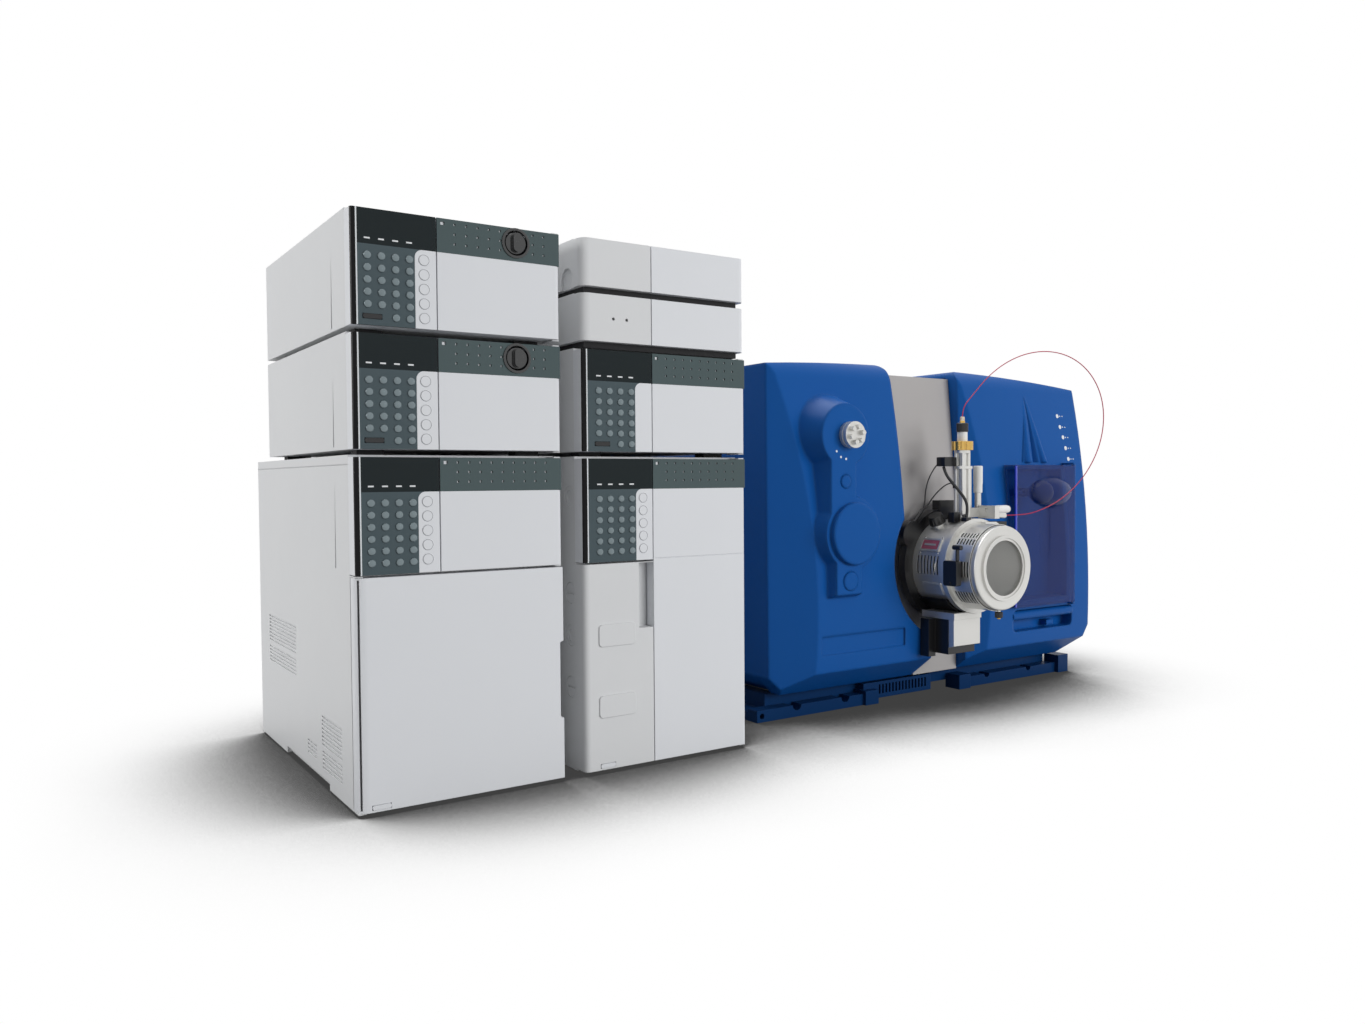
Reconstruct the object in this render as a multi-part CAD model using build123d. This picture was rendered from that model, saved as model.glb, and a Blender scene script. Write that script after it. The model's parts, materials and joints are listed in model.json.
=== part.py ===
from build123d import *
import os
from math import cos, radians, sin, sqrt

os.makedirs("parts", exist_ok=True)

# All sizes are in millimetres. X runs to the right along the fronts, Y to the back, Z up.

# Modules of the chromatograph
module_w = 260.0      # every module is this wide
shallow_d = 420.0     # pumps, detector and slim modules
tower_d = 500.0       # autosampler and column oven
tower_h = 415.0
head_h = 140.0        # pump, detector and the console block of a tower
slim_h = 70.0
stack_gap = 31.0      # between the two stacks
foot_h = 6.0
tower_foot_h = 3.5
front_t = 24.0        # depth of the front mouldings ahead of the case
front_gap = 1.4       # between neighbouring front mouldings
seat = 0.3            # free space round a part that rests in another
wall = 2.5            # moulded flanges
face_t = 3.0          # face of a cover or door
cover_d = 22.0        # a cover ends short of the case so that it can swing
edge_r = 6.0
block_low = 2.5       # underside of a tower's console block, above the block's base
top_margin = 3.0      # above a cover, for its hinge arm

# Console
console_w = 99.0
second_lead = 5.0     # the second stack's consoles have this much more at their left
strip_line = 97.0     # height above the block's base where the vent strip starts
keypad_w = 73.5
overlay_t = 4.0
overlay_corner_r = 9.0
key_r = 4.6
key_rise = 1.8
key_cols, key_pitch_x, key_first_x = 4, 16.2, 18.4
key_rows, key_pitch_z, key_first_z = 5, 13.7, 84.4
ring_key_r, ring_key_rise, ring_key_pitch, ring_key_x = 6.5, 0.5, 16.8, 84.5
button_w, button_h, button_travel, button_t = 22.0, 5.4, 2.5, 12.0
button_proud = 0.8
power_x = key_first_x + 0.5 * key_pitch_x - 3.0
power_z = key_first_z - key_rows * key_pitch_z
tower_button_z = 10.8
trim_w, trim_x, trim_rise = 1.6, 5.4, 0.5

# Vent strip and drain knob
vent_t = 2.0
vent_hole = 2.6
vent_cols, vent_margin = 9, 22.0
vent_rows, vent_pitch_z, vent_top_z = 3, 11.4, 131.2
knob_x, knob_z = 200.5, 119.0
knob_hole_r, knob_r, knob_shaft_r = 17.5, 13.6, 5.0
knob_out = 7.0        # how far the knob stands ahead of the cover
running = 0.05        # radial clearance of a turning fit

# Cover hinges
pin_r, pin_inset_x, pin_inset_y = 2.0, 5.0, 8.0
arm_t = 1.6

# Bays behind the covers
bay_d = 92.0
chamber_d = 300.0
oven_chamber_d = 170.0
bay_wall = 8.0
head_margin = 11.0    # from the bay's left wall to the pump head

# Louvres on the autosampler's left side: y and z limits of each field
louvre_fields = (
    (68, 157, 52, 93),
    (68, 155, 23, 50),
    (184, 228, 28, 49),
    (283, 441, 150, 190),
    (283, 441, 120, 146),
)
louvre_pitch, louvre_open, louvre_deep = 5.0, 2.2, 1.8
skirt_notch_x, skirt_notch_y, skirt_notch_h = 7.0, (124, 343), 9.0

# Autosampler door: finger notch at its right edge, and the housing round its power bar
notch_z, notch_w, notch_h = 131.5, 11.0, 98.0
sampler_bar_x, oven_bar_x = 25.5, 33.0

# Vials in the rack
vial_r, vial_first_x, vial_pitch_x = 14.0, 60.0, 46.7
vial_first_y, vial_pitch_y = 102.0, 50.0

# Oven's raised plates, and the hand recess beside them
plate_x, plate_w, plate_z, plate_rise = 48.0, 55.0, ((74, 103), (167, 196)), 1.6
recess_w, recess_d, recess_z = 22.0, 18.0, 187.0

# Cable ports on the oven's left side, y and z
port_places = ((39, 363), (39, 236), (39, 180), (39, 112))
port_r = 14.0

# Mass spectrometer
ms_gap = 124.0        # from the second stack to the cover's left side
ms_w = 765.0
ms_back = 745.0
ms_low = 38.0         # underside of the covers
ms_front = 64.0       # front face, just above the lower chamfer
ms_mid_front, ms_mid_z = 67.0, 300.0
ms_top_front, ms_shoulder_z = 100.0, 546.0
ms_left_z, ms_crown_z, ms_right_z = 567.0, 579.0, 555.0
crown_x = 330.0
seam_round = 13.0     # rounding of the covers' top corners beside the centre panel
chamfer_back, chamfer_z = 110.0, 74.0
cover_wall = 6.0
bevel_top, bevel_low = 15.0, 66.0
corner_left, corner_right = (26.0, 68.0), (38.0, 96.0)   # width and top of the lower corners' chamfers
left_seam = 265.0     # right edge of the left cover, from the instrument's left side
left_seam_low = 325.0
right_seam = 436.0    # left edge of the right cover
panel_front, panel_top_front, panel_top_z = 106.0, 126.0, 563.0
recess_r = 128.0      # round cut in the covers about the ion source

# Injection valve boss on the left cover
boss_face, boss_root, boss_taper = 46.0, 96.0, 20.0
valve_x, valve_z, valve_boss_r, valve_r = 112.0, 453.0, 50.0, 21.0
nut_circle_r, nut_across = 12.5, 4.2
port_x, port_z, port_ring_r, port_disc_r = 129.0, 296.0, 58.0, 50.0
port_disc_rise = 9.0
neck_w = 53.0
upper_button_z, upper_button_r = 379.0, 10.5
lower_button_z, lower_button_r = 220.0, 15.0
lug_low_z = 199.0

# Ion source
source_x, source_z = 365.0, 235.0
flange_r, flange_front, flange_t = 95.0, 72.0, 15.0
drum_rear_r, drum_front_r, rim_r, rim_t = 77.0, 72.0, 80.0, 10.0
rim_front = -2.0
drum_end = -46.0
chamber_wall = 12.0
slot_w, slot_depth = 3.0, 8.0
ring_r, ring_front, ring_step, ring_lip_r = 70.0, -61.0, -57.5, 54.0
ring_bore, glass_r, glass_t = 45.5, 49.0, 4.0
latch_x, latch_y, latch_z, latch_r = source_x - 82.0, -20.0, 212.0, 2.5
plug_angle, plug_y, plug_r, plug_flutes = 118.0, 50.0, 14.0, 10
thumb_r = 5.5
framed_angle, framed_y, framed_w, framed_h = 152.0, 38.0, 42.0, 23.0
flat_angle, flat_y, flat_w, flat_h = 208.0, 33.0, 42.0, 22.0
ear_x, ear_z, ear_r, gland_r = source_x - 74.0, source_z + 52.0, 24.0, 3.2

# Exhaust under the source
exhaust_x0, exhaust_x1, exhaust_top = 311.0, 378.0, 158.0

# Probe
probe_x, probe_y = 368.0, 33.0
probe_r, probe_low, probe_high = 7.6, 314.0, 431.0
rod_r, rod_offset = 3.2, 7.2
nut_r, nut_h, neck_r, neck_h, cap_r, cap_h = 18.0, 15.0, 8.0, 16.0, 9.2, 15.0
fitting_r, fitting_h = 3.6, 11.0
thimble_r, thimble_h = 7.0, 46.0
side_thimble_r, side_thimble_h = 6.2, 44.0
screw_r = 3.0
bracket_x, bracket_w, port_y, side_screw_y = 32.0, 12.0, -4.0, 8.0

# Syringe door on the right cover
door_x0 = right_seam + 0.286 * (ms_w - right_seam)
door_x1 = right_seam + 0.827 * (ms_w - right_seam)
door_z0, door_z1 = 145.0, 407.0
door_front, door_t = 50.0, 3.0
door_clear = 1.2      # between the door's flanges and the bulging cover behind them
door_pin_x, door_pin_y = 3.5, 5.0
bay_back = 104.0
ball_r, ball_x, ball_y, ball_z, stem_r = 23.0, door_x0 + 82.0, 58.0, 356.0, 5.0
blister_x = (door_x0 + door_x1) / 2 + 12.0
blister_w, blister_r = 0.68 * (door_x1 - door_x0), 31.0
rail_r, rail_y, carriage_w = 3.0, 92.0, 24.0
channel_z0, channel_z1, channel_w = 233.0, 330.0, 29.0

# Folded base
rail_h = 19.0
apron_first_x, apron_pitch, apron_slots = 248.0, 8.0, 15

# Sail-shaped relief above the door
sail_low, sail_high = 412.0, 536.0
sail_tip_x = door_x0 + 82.0

# Tubing
tube_d, lead_d, cable_d = 1.6, 2.2, 5.0

second_x = module_w + stack_gap
ms_x = second_x + module_w + ms_gap
total_x = ms_x + ms_w
front_y, back_y = ring_front, ms_back
centre = (total_x / 2, (front_y + back_y) / 2)
origin_shift = Pos(-centre[0], -centre[1], 0)

parts = {}


def span(x, y, z):
    """Box between three pairs of limits."""
    return Pos((x[0] + x[1]) / 2, (y[0] + y[1]) / 2, (z[0] + z[1]) / 2) * Box(
        x[1] - x[0], y[1] - y[0], z[1] - z[0]
    )


def slab_y(sketch, y0, y1):
    """Extrudes an X-Z sketch from y0 back to y1."""
    plane = Plane(origin=(0, y1, 0), x_dir=(1, 0, 0), z_dir=(0, -1, 0))
    return extrude(plane * sketch, amount=y1 - y0)


def slab_x(sketch, x0, x1):
    """Extrudes a Y-Z sketch from x0 to x1."""
    plane = Plane(origin=(x0, 0, 0), x_dir=(0, 1, 0), z_dir=(1, 0, 0))
    return extrude(plane * sketch, amount=x1 - x0)


def rod_y(r, x, z, y0, y1):
    """Round bar along Y."""
    return Pos(x, (y0 + y1) / 2, z) * Rot(90, 0, 0) * Cylinder(r, y1 - y0)


def rod_z(r, x, y, z0, z1):
    """Round bar along Z."""
    return Pos(x, y, (z0 + z1) / 2) * Cylinder(r, z1 - z0)


def rod_x(r, y, z, x0, x1):
    """Round bar along X."""
    return Pos((x0 + x1) / 2, y, z) * Rot(0, 90, 0) * Cylinder(r, x1 - x0)


def hex_z(r, x, y, z0, z1):
    """Hexagon nut along Z."""
    return Pos(x, y, z0) * extrude(RegularPolygon(r, 6), amount=z1 - z0)


def round_front_edge(solid, x, y, r):
    """Rounds the vertical edges that run through the point x, y."""
    picked = [
        e
        for e in solid.edges().filter_by(Axis.Z)
        if abs(e.center().X - x) < 0.1 and abs(e.center().Y - y) < 0.1
    ]
    return fillet(picked, r)


def place(name, solid, x=0.0, z=0.0):
    """Moves a finished piece into the row frame and keeps it under its node's name."""
    moved = origin_shift * Pos(x, 0, z) * solid
    parts[name] = parts[name] + [moved] if name in parts else [moved]


# --- shared front mouldings ---


def button_at(x, z):
    """Sprung bar button that stands a little ahead of its face."""
    half_w, half_h = button_w / 2, button_h / 2
    bar = span((x - half_w, x + half_w), (-button_proud, button_t), (z - half_h, z + half_h))
    return fillet(bar.edges().filter_by(Axis.Y), half_h - 0.2)


def button_pocket(x, z, y0=-2.0):
    """Room for the button with its travel behind it."""
    half_w, half_h = button_w / 2 + seat, button_h / 2 + seat
    return span((x - half_w, x + half_w), (y0, button_t + button_travel + seat), (z - half_h, z + half_h))


def overlay_outline(low, lead):
    """Dark bezel: the keypad column with the display above it across the console."""
    pad_w, full_w = keypad_w + lead, console_w + lead
    top, foot = head_h - top_margin, strip_line - overlay_corner_r
    keypad = Pos(pad_w / 2, (low + strip_line) / 2) * Rectangle(pad_w, strip_line - low)
    display = Pos(full_w / 2, (foot + top) / 2) * Rectangle(full_w, top - foot)
    corner = Pos(pad_w + overlay_corner_r, foot) * Circle(overlay_corner_r)
    rest_w = full_w - pad_w - overlay_corner_r
    beside = Pos(full_w - rest_w / 2, (foot + strip_line) / 2) * Rectangle(rest_w, overlay_corner_r)
    return keypad + display - corner - beside


def overlay(low, with_bar, lead=0.0):
    """Bezel plate with its raised keys; with_bar leaves room for the power bar."""
    plate = slab_y(overlay_outline(low, lead), 0, overlay_t)
    plate = round_front_edge(plate, 0, 0, overlay_t - 0.5)
    keys = []
    for row in range(key_rows + 1):
        for col in range(key_cols):
            if row == key_rows and with_bar and col < 2:
                continue
            x, z = lead + key_first_x + col * key_pitch_x, key_first_z - row * key_pitch_z
            keys.append(Pos(x, z) * RegularPolygon(key_r, 8))
    root = Plane(origin=(0, 0.4, 0), x_dir=(1, 0, 0), z_dir=(0, -1, 0))
    plate = plate.fuse(*[extrude(root * key, amount=key_rise + 0.4, taper=24) for key in keys])
    if with_bar:
        plate -= button_pocket(lead + power_x, power_z)
    return plate + span((trim_x, trim_x + trim_w), (-trim_rise, 1), (low + 2, head_h - top_margin - 2))


def console(low, with_bar, with_rings, lead=0.0):
    """White moulding behind the overlay, with the function keys' strip beside it."""
    body = span((0, console_w + lead), (0, front_t), (low, head_h - top_margin))
    body -= slab_y(overlay_outline(low, lead), -1, overlay_t)
    if with_rings:
        for i in range(5):
            z = key_first_z + 1 - i * ring_key_pitch
            body += rod_y(ring_key_r, lead + ring_key_x, z, -ring_key_rise, 1)
    if with_bar:
        body -= button_pocket(lead + power_x, power_z)
    return body


def cover(width, low, high, hinge="right", corner_r=edge_r):
    """Pan-shaped cover: a face with flanges behind it, holed for its two hinge pins."""
    body = span((0, width), (0, cover_d), (low, high))
    side = width if hinge == "right" else 0
    body = round_front_edge(body, side, 0, corner_r)
    body -= span((wall, width - wall), (face_t, cover_d + 1), (low + wall, high - wall))
    pin_x = width - pin_inset_x if hinge == "right" else pin_inset_x
    for z in (low, high):
        body += rod_z(pin_r + 2.0, pin_x, pin_inset_y, max(low, z - wall), min(high, z + wall))
    for z in (low, high):
        body -= rod_z(pin_r + running, pin_x, pin_inset_y, z - wall - 1, z + wall + 1)
    return body


def hinge_arms(pin_x, low, high, side_x):
    """Arms on the case that carry a cover's pins, above and below the cover."""
    arms = []
    for z, up in ((low, -1), (high, 1)):
        z0, z1 = sorted((z + up * seat, z + up * (seat + arm_t)))
        x0, x1 = sorted((pin_x + (4 if side_x > pin_x else -4) * -1, side_x))
        arm = span((x0, x1), (pin_inset_y - 4, front_t), (z0, z1))
        arm += span((x0, x1), (front_t, front_t + 8), (z0, z1 + 2 if up < 0 else z1))
        pin_end = sorted((z0 if up > 0 else z1, z - up * wall))
        arms.append(arm + rod_z(pin_r, pin_x, pin_inset_y, pin_end[0], pin_end[1]))
    return arms


def strip_seat(width):
    return span((-1, width + 1), (-1, vent_t), (strip_line, head_h))


def vent_strip(width, knob):
    """Slate strip with its small square vents and the push mark at the latch end."""
    x0 = module_w - width
    pitch = (width - 2 * vent_margin) / (vent_cols - 1)
    strip = span((0, width), (0, vent_t), (strip_line, head_h - top_margin))
    strip = round_front_edge(strip, width, 0, vent_t - 0.4)
    holes = []
    for col in range(vent_cols):
        x = vent_margin + col * pitch
        if knob and abs(x - (knob_x - x0)) < knob_hole_r + vent_hole / 2:
            continue
        for row in range(vent_rows):
            holes.append(Pos(x, vent_top_z - row * vent_pitch_z) * Rectangle(vent_hole, vent_hole))
    mark = Pos(7, vent_top_z) * Rectangle(5, 4)
    strip = strip.cut(*[slab_y(hole, -1, vent_t + 1) for hole in holes + [mark]])
    if knob:
        strip -= rod_y(knob_hole_r, knob_x - x0, knob_z, -1, vent_t + 1)
    return strip


def side_slit(case, top_z, low_z):
    """Tapering slit in the case's left side just behind the front frame."""
    sliver = make_face(Polyline((80, top_z), (83.5, low_z), (79, low_z), (80, top_z)))
    return case - slab_x(sliver, -1, wall)


def rear_panel(case, depth, z0, z1):
    """Ventilation slots and a recessed connector field in a module's back."""
    for i in range(6):
        x = 150 + i * 14
        case -= span((x, x + 5), (depth - 3, depth + 1), (z0 + 22, z1 - 22))
    return case - span((30, 110), (depth - 4, depth + 1), (z0 + 24, z1 - 24))


def feet(depth):
    """Four rubber pads under a module."""
    pads = []
    for x in (30, module_w - 30):
        for y in (48, depth - 40):
            pads.append(span((x - 16, x + 16), (y - 11, y + 11), (0, foot_h)))
    return pads


# --- modules ---


def unit_case(height, depth, low):
    """Case of a pump or detector with the bay behind its cover and the cover's hinge arms."""
    case = span((0, module_w), (front_t, depth), (foot_h, height))
    case -= span(
        (console_w + bay_wall, module_w - bay_wall),
        (front_t - 1, front_t + bay_d),
        (foot_h + bay_wall, height - bay_wall),
    )
    case = side_slit(case, height - 45, foot_h + 4)
    case = rear_panel(case, depth, foot_h, height)
    for arm in hinge_arms(module_w - pin_inset_x, low, height - top_margin, module_w):
        case += arm
    return case


def pump_head():
    """Manifold with two piston heads, their check valves and the drain valve's body."""
    back = front_t + bay_d
    left = console_w + bay_wall + head_margin
    head = span((left, 236), (70, back), (30, 92))
    for x in (left + 22, left + 58):
        head += rod_y(17, x, 61, 34, 70)
        head += hex_z(7, x, 46, 40, 44.3) + hex_z(7, x, 46, 77, 92)
        head += hex_z(7, x, 46, 30, 45)
    head += span((knob_x - 15, knob_x + 15), (40, back), (92, knob_z + 12))
    head -= rod_y(knob_shaft_r + running, knob_x, knob_z, 30, 64)
    return head


def drain_knob():
    """Knob with a raised oval grip, on the drain valve's shaft."""
    knob = rod_y(knob_r, knob_x, knob_z, -knob_out + 5, front_t - 2)
    knob = chamfer(knob.edges().filter_by(GeomType.CIRCLE).sort_by(Axis.Y)[0], 1.2)
    grip = Pos(knob_x, knob_z) * SlotOverall(knob_r * 1.7, 11, rotation=90)
    knob += slab_y(grip, -knob_out, 0)
    return knob + rod_y(knob_shaft_r, knob_x, knob_z, front_t - 3, 62)


def pump(name, z):
    low = foot_h
    width = module_w - console_w - front_gap
    cover_x = console_w + front_gap
    place(name + "_case", unit_case(head_h, shallow_d, low), 0, z)
    place(name + "_console", console(low, True, True), 0, z)
    place("control_overlays", overlay(low, True), 0, z)
    place(name + "_power_button", button_at(power_x, power_z), 0, z)
    lid = cover(width, low, head_h - top_margin) - strip_seat(width)
    lid -= rod_y(knob_hole_r, knob_x - cover_x, knob_z, -1, face_t + 1)
    place(name + "_cover", lid, cover_x, z)
    place(name + "_vent_strip", vent_strip(width, True), cover_x, z)
    place(name + "_head", pump_head(), 0, z)
    place(name + "_drain_knob", drain_knob(), 0, z)
    for pad in feet(shallow_d):
        place("module_feet", pad, 0, z)


def detector(x, z):
    low = foot_h
    cover_x = console_w + second_lead + front_gap
    width = module_w - cover_x
    place("detector_case", unit_case(head_h, shallow_d, low), x, z)
    place("detector_console", console(low, True, False, second_lead), x, z)
    place("control_overlays", overlay(low, True, second_lead), x, z)
    place("detector_power_button", button_at(second_lead + power_x, power_z), x, z)
    place("detector_cover", cover(width, low, head_h - top_margin) - strip_seat(width), x + cover_x, z)
    place("detector_vent_strip", vent_strip(width, False), x + cover_x, z)
    for pad in feet(shallow_d):
        place("module_feet", pad, x, z)


def tower_feet(x):
    for px in (34, module_w - 34):
        for py in (50, tower_d - 46):
            place("module_feet", rod_z(14, px, py, 0, tower_foot_h), x, 0)


def autosampler():
    base = tower_h - head_h
    width = module_w - console_w - front_gap
    door_low, door_high = tower_foot_h + 2.1, base - 0.5
    case = span((0, module_w), (front_t, tower_d), (tower_foot_h, tower_h))
    case -= span((12, module_w - 12), (front_t - 1, front_t + chamber_d), (22, base - 13))
    bay_x = (console_w + bay_wall, module_w - bay_wall)
    case -= span(bay_x, (front_t - 1, front_t + bay_d), (base + 12, tower_h - bay_wall))
    # lid seam, louvres and skirt notch on the left side
    case -= span((-1, 1.0), (front_t + 2, tower_d - 2), (tower_h - 12, tower_h - 10.8))
    for y0, y1, z0, z1 in louvre_fields:
        rows = int((z1 - z0) // louvre_pitch)
        lows = [z0 + (i + 0.3) * louvre_pitch for i in range(rows)]
        case -= [span((-1, louvre_deep), (y0, y1), (low, low + louvre_open)) for low in lows]
    case -= span((-1, skirt_notch_x), skirt_notch_y, (0, tower_foot_h + skirt_notch_h))
    case = side_slit(case, tower_h - 30, base + 6)
    case = rear_panel(case, tower_d, 60, tower_h - 40)
    for arm in hinge_arms(module_w - pin_inset_x, base + block_low, tower_h - top_margin, module_w):
        case += arm
    for arm in hinge_arms(pin_inset_x, door_low, door_high, 0):
        case += arm
    place("sampler_case", case)
    place("sampler_console", console(block_low, False, True), 0, base)
    place("control_overlays", overlay(block_low, False), 0, base)
    upper = cover(width, block_low, head_h - top_margin) - strip_seat(width)
    place("sampler_cover", upper, console_w + front_gap, base)
    place("sampler_vent_strip", vent_strip(width, False), console_w + front_gap, base)
    door = cover(module_w, door_low, door_high, hinge="left", corner_r=12.0)
    notch = Pos(module_w, notch_z) * RectangleRounded(notch_w, notch_h, 5)
    door -= slab_y(notch, -1, face_t + 6)
    lip_x, lip_half = module_w - notch_w / 2, notch_h / 2 + wall
    door += span((lip_x - 6.5, lip_x), (face_t - 0.5, face_t + 6), (notch_z - lip_half, notch_z + lip_half))
    bx, bz = sampler_bar_x, tower_button_z
    door += span((bx - 14, bx + 14), (face_t - 0.5, 10), (door_low + 1, bz + 7)) - button_pocket(bx, bz)
    door -= button_pocket(bx, bz)
    place("sampler_door", door)
    place("sampler_power_button", button_at(bx, bz))
    place("sampler_rack", sample_rack())
    tower_feet(0)


def sample_rack():
    """Tray with a raised vial rack that slides on the chamber's floor."""
    rack = span((20, module_w - 20), (60, 300), (22, 28))
    rack += span((34, module_w - 34), (76, 280), (28, 62))
    for col in range(4):
        for row in range(4):
            x, y = vial_first_x + col * vial_pitch_x, vial_first_y + row * vial_pitch_y
            rack -= rod_z(vial_r, x, y, 34, 63)
    return rack


def oven(x):
    base = tower_h - head_h
    panel_w = console_w + second_lead
    door_x = panel_w + front_gap
    width = module_w - door_x
    door_low, door_high = tower_foot_h + 2.1, tower_h - top_margin
    case = span((0, module_w), (front_t, tower_d), (tower_foot_h, tower_h))
    lower = span((0, panel_w), (0, front_t), (door_low, base))
    lower = round_front_edge(lower, 0, 0, edge_r + 2)
    for z0, z1 in plate_z:
        pad = Pos(plate_x, (z0 + z1) / 2) * RectangleRounded(plate_w, z1 - z0, 5)
        lower += slab_y(pad, -plate_rise, 1)
    lower -= span((panel_w - recess_w, panel_w + 1), (-1, recess_d), (recess_z, base - 1))
    bx, bz = oven_bar_x, tower_button_z
    lower -= button_pocket(bx, bz)
    case += lower
    chamber_x = (console_w + bay_wall, module_w - bay_wall)
    case -= span(chamber_x, (front_t - 1, front_t + oven_chamber_d), (20, tower_h - 20))
    for y, z in port_places:
        case -= rod_x(port_r, y, z, -1, 3)
    for arm in hinge_arms(module_w - pin_inset_x, door_low, door_high, module_w):
        case += arm
    case = rear_panel(case, tower_d, 60, tower_h - 40)
    place("oven_case", case, x)
    place("oven_console", console(block_low, False, True, second_lead), x, base)
    place("control_overlays", overlay(block_low, False, second_lead), x, base)
    door = cover(width, door_low, door_high)
    door -= span((-1, width + 1), (-1, vent_t), (base + strip_line, tower_h))
    door -= span((2, width - 2), (-1, 0.8), (base + 3, base + 4.2))
    place("oven_door", door, x + door_x)
    place("oven_vent_strip", vent_strip(width, False), x + door_x, base)
    place("oven_power_button", button_at(bx, bz), x)
    place("oven_column", column(), x)
    for i, (y, z) in enumerate(port_places):
        plug = rod_x(port_r - seat, y, z, 0.4, 3)
        if i % 2 == 0:
            plug -= rod_x(8, y, z, -1, 2.2)
        else:
            plug -= span((-1, 1.6), (y - 10, y + 10), (z - 1.2, z + 1.2))
        place("port_plugs", plug, x)
    tower_feet(x)


def column():
    """Upright column with end nuts, held by two clips on the chamber's back."""
    x, y = console_w + bay_wall + 60, front_t + oven_chamber_d - 40
    tube = rod_z(7, x, y, 110, 300)
    for z0, z1 in ((92, 116), (294, 318)):
        tube += hex_z(10, x, y, z0, z1)
    for z in (150, 245):
        tube += span((x - 12, x + 12), (y + 4, front_t + oven_chamber_d), (z, z + 16))
    return tube


def slim_module(x, z, arch):
    """Low module with its left front moulded on, a snap-on right cover and a set-back plinth."""
    skirt = 8.0
    body = span((0, module_w), (front_t - 2, shallow_d), (skirt, slim_h))
    body += span((0, console_w + second_lead), (0, front_t), (skirt, slim_h - 1))
    body = round_front_edge(body, 0, 0, 12)
    if arch:
        hand = Pos(40, skirt) * Circle(15) + Pos(40, skirt + 12) * Circle(15)
        body -= slab_x(hand + Pos(40, skirt + 6) * Rectangle(30, 12), -1, 3)
    else:
        for lamp_x in (46.5, 66.5):
            body -= rod_y(2.0, lamp_x, 38, -1, 2)
    body = rear_panel(body, shallow_d, skirt, slim_h + 10)
    place("slim_cases", body, x, z)
    place("module_feet", span((8, module_w - 8), (10, shallow_d - 10), (0, skirt)), x, z)
    lid_x = console_w + second_lead + front_gap
    lid = span((lid_x, module_w), (0, front_t - 2), (skirt, slim_h - 1))
    lid = round_front_edge(lid, module_w, 0, 10)
    lid -= span((lid_x + wall, module_w - wall - 4), (face_t, front_t), (skirt + wall, slim_h - 1 - wall))
    place("slim_covers", lid, x, z)


# --- mass spectrometer, drawn from its own left side ---


def cover_profile():
    """Side view of the covers: chamfered foot, long bulging front and level top."""
    shoulder = (ms_top_front, ms_shoulder_z)
    level = (ms_top_front + 46, ms_crown_z + 2)
    front = ThreePointArc((ms_front, chamfer_z), (ms_mid_front, ms_mid_z), shoulder)
    top = ThreePointArc(shoulder, (ms_top_front + 14, ms_crown_z - 8), level)
    rest = Polyline(
        level,
        (ms_back, level[1]),
        (ms_back, ms_low),
        (chamfer_back, ms_low),
        (ms_front, chamfer_z),
    )
    return make_face(front + top + rest)


def front_outline(inset=0.0):
    """Front view of both covers: crowned top, chamfered lower corners."""
    right, low = ms_w - inset, ms_low - 2 * inset
    left_z, crown_z, right_z = (z - 2 * inset for z in (ms_left_z, ms_crown_z, ms_right_z))
    crown = ThreePointArc((inset, left_z), (crown_x, crown_z), (right, right_z))
    right_foot = ((right, corner_right[1]), (right - corner_right[0], low))
    left_foot = ((corner_left[0] + inset, low), (inset, corner_left[1]))
    rest = Polyline((right, right_z), *right_foot, *left_foot, (inset, left_z))
    return make_face(crown + rest)


def face_y(z):
    """Front of the covers at a height on their long bulge."""
    knots = ((chamfer_z, ms_front), (ms_mid_z, ms_mid_front), (ms_shoulder_z, ms_top_front))
    total = 0.0
    for i, (zi, yi) in enumerate(knots):
        weight = 1.0
        for j, (zj, _) in enumerate(knots):
            if j != i:
                weight *= (z - zj) / (zi - zj)
        total += yi * weight
    return total


def bevel_tool(x_side, inward, top, low):
    """Wedge that bevels a cover's front corner, wider at the foot than at the top."""
    s = inward
    lower = make_face(
        Polyline(
            (x_side - s * 5, ms_front - 30),
            (x_side + s * (low + 44), ms_front - 30),
            (x_side - s * 5, ms_front + low * 0.66),
            (x_side - s * 5, ms_front - 30),
        )
    )
    upper = make_face(
        Polyline(
            (x_side - s * 5, ms_front + 6),
            (x_side + s * (top + 44), ms_front + 6),
            (x_side - s * 5, ms_top_front + top * 0.66 + 3),
            (x_side - s * 5, ms_front + 6),
        )
    )
    return loft([Pos(0, 0, ms_low - 20) * lower, Pos(0, 0, ms_crown_z + 24) * upper])


def centre_window():
    """Front view of the gap between the covers, round about the ion source."""
    high = ms_crown_z + 20
    gap = Pos((left_seam + right_seam) / 2, (high + source_z) / 2) * Rectangle(
        right_seam - left_seam, high - source_z
    )
    low_w = right_seam - left_seam_low
    low = Pos(left_seam_low + low_w / 2, source_z / 2) * Rectangle(low_w, source_z)
    relief = Pos(source_x, source_z) * Circle(recess_r)
    right_part = Pos(right_seam + recess_r, source_z) * Rectangle(2 * recess_r, 4 * recess_r)
    return gap + low + (relief - right_part)


def keyhole():
    """Outline of the raised boss: valve disc, neck, port ring and button lug."""
    shape = Pos(valve_x, valve_z) * Circle(valve_boss_r) + Pos(port_x, port_z) * Circle(port_ring_r)
    mid_x = (valve_x + port_x) / 2 - 13
    shape += Pos(mid_x, (valve_z + port_z) / 2) * Rectangle(neck_w, valve_z - port_z)
    shape += Pos(port_x - 10, (port_z + lug_low_z) / 2) * Rectangle(neck_w, port_z - lug_low_z)
    return shape


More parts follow.
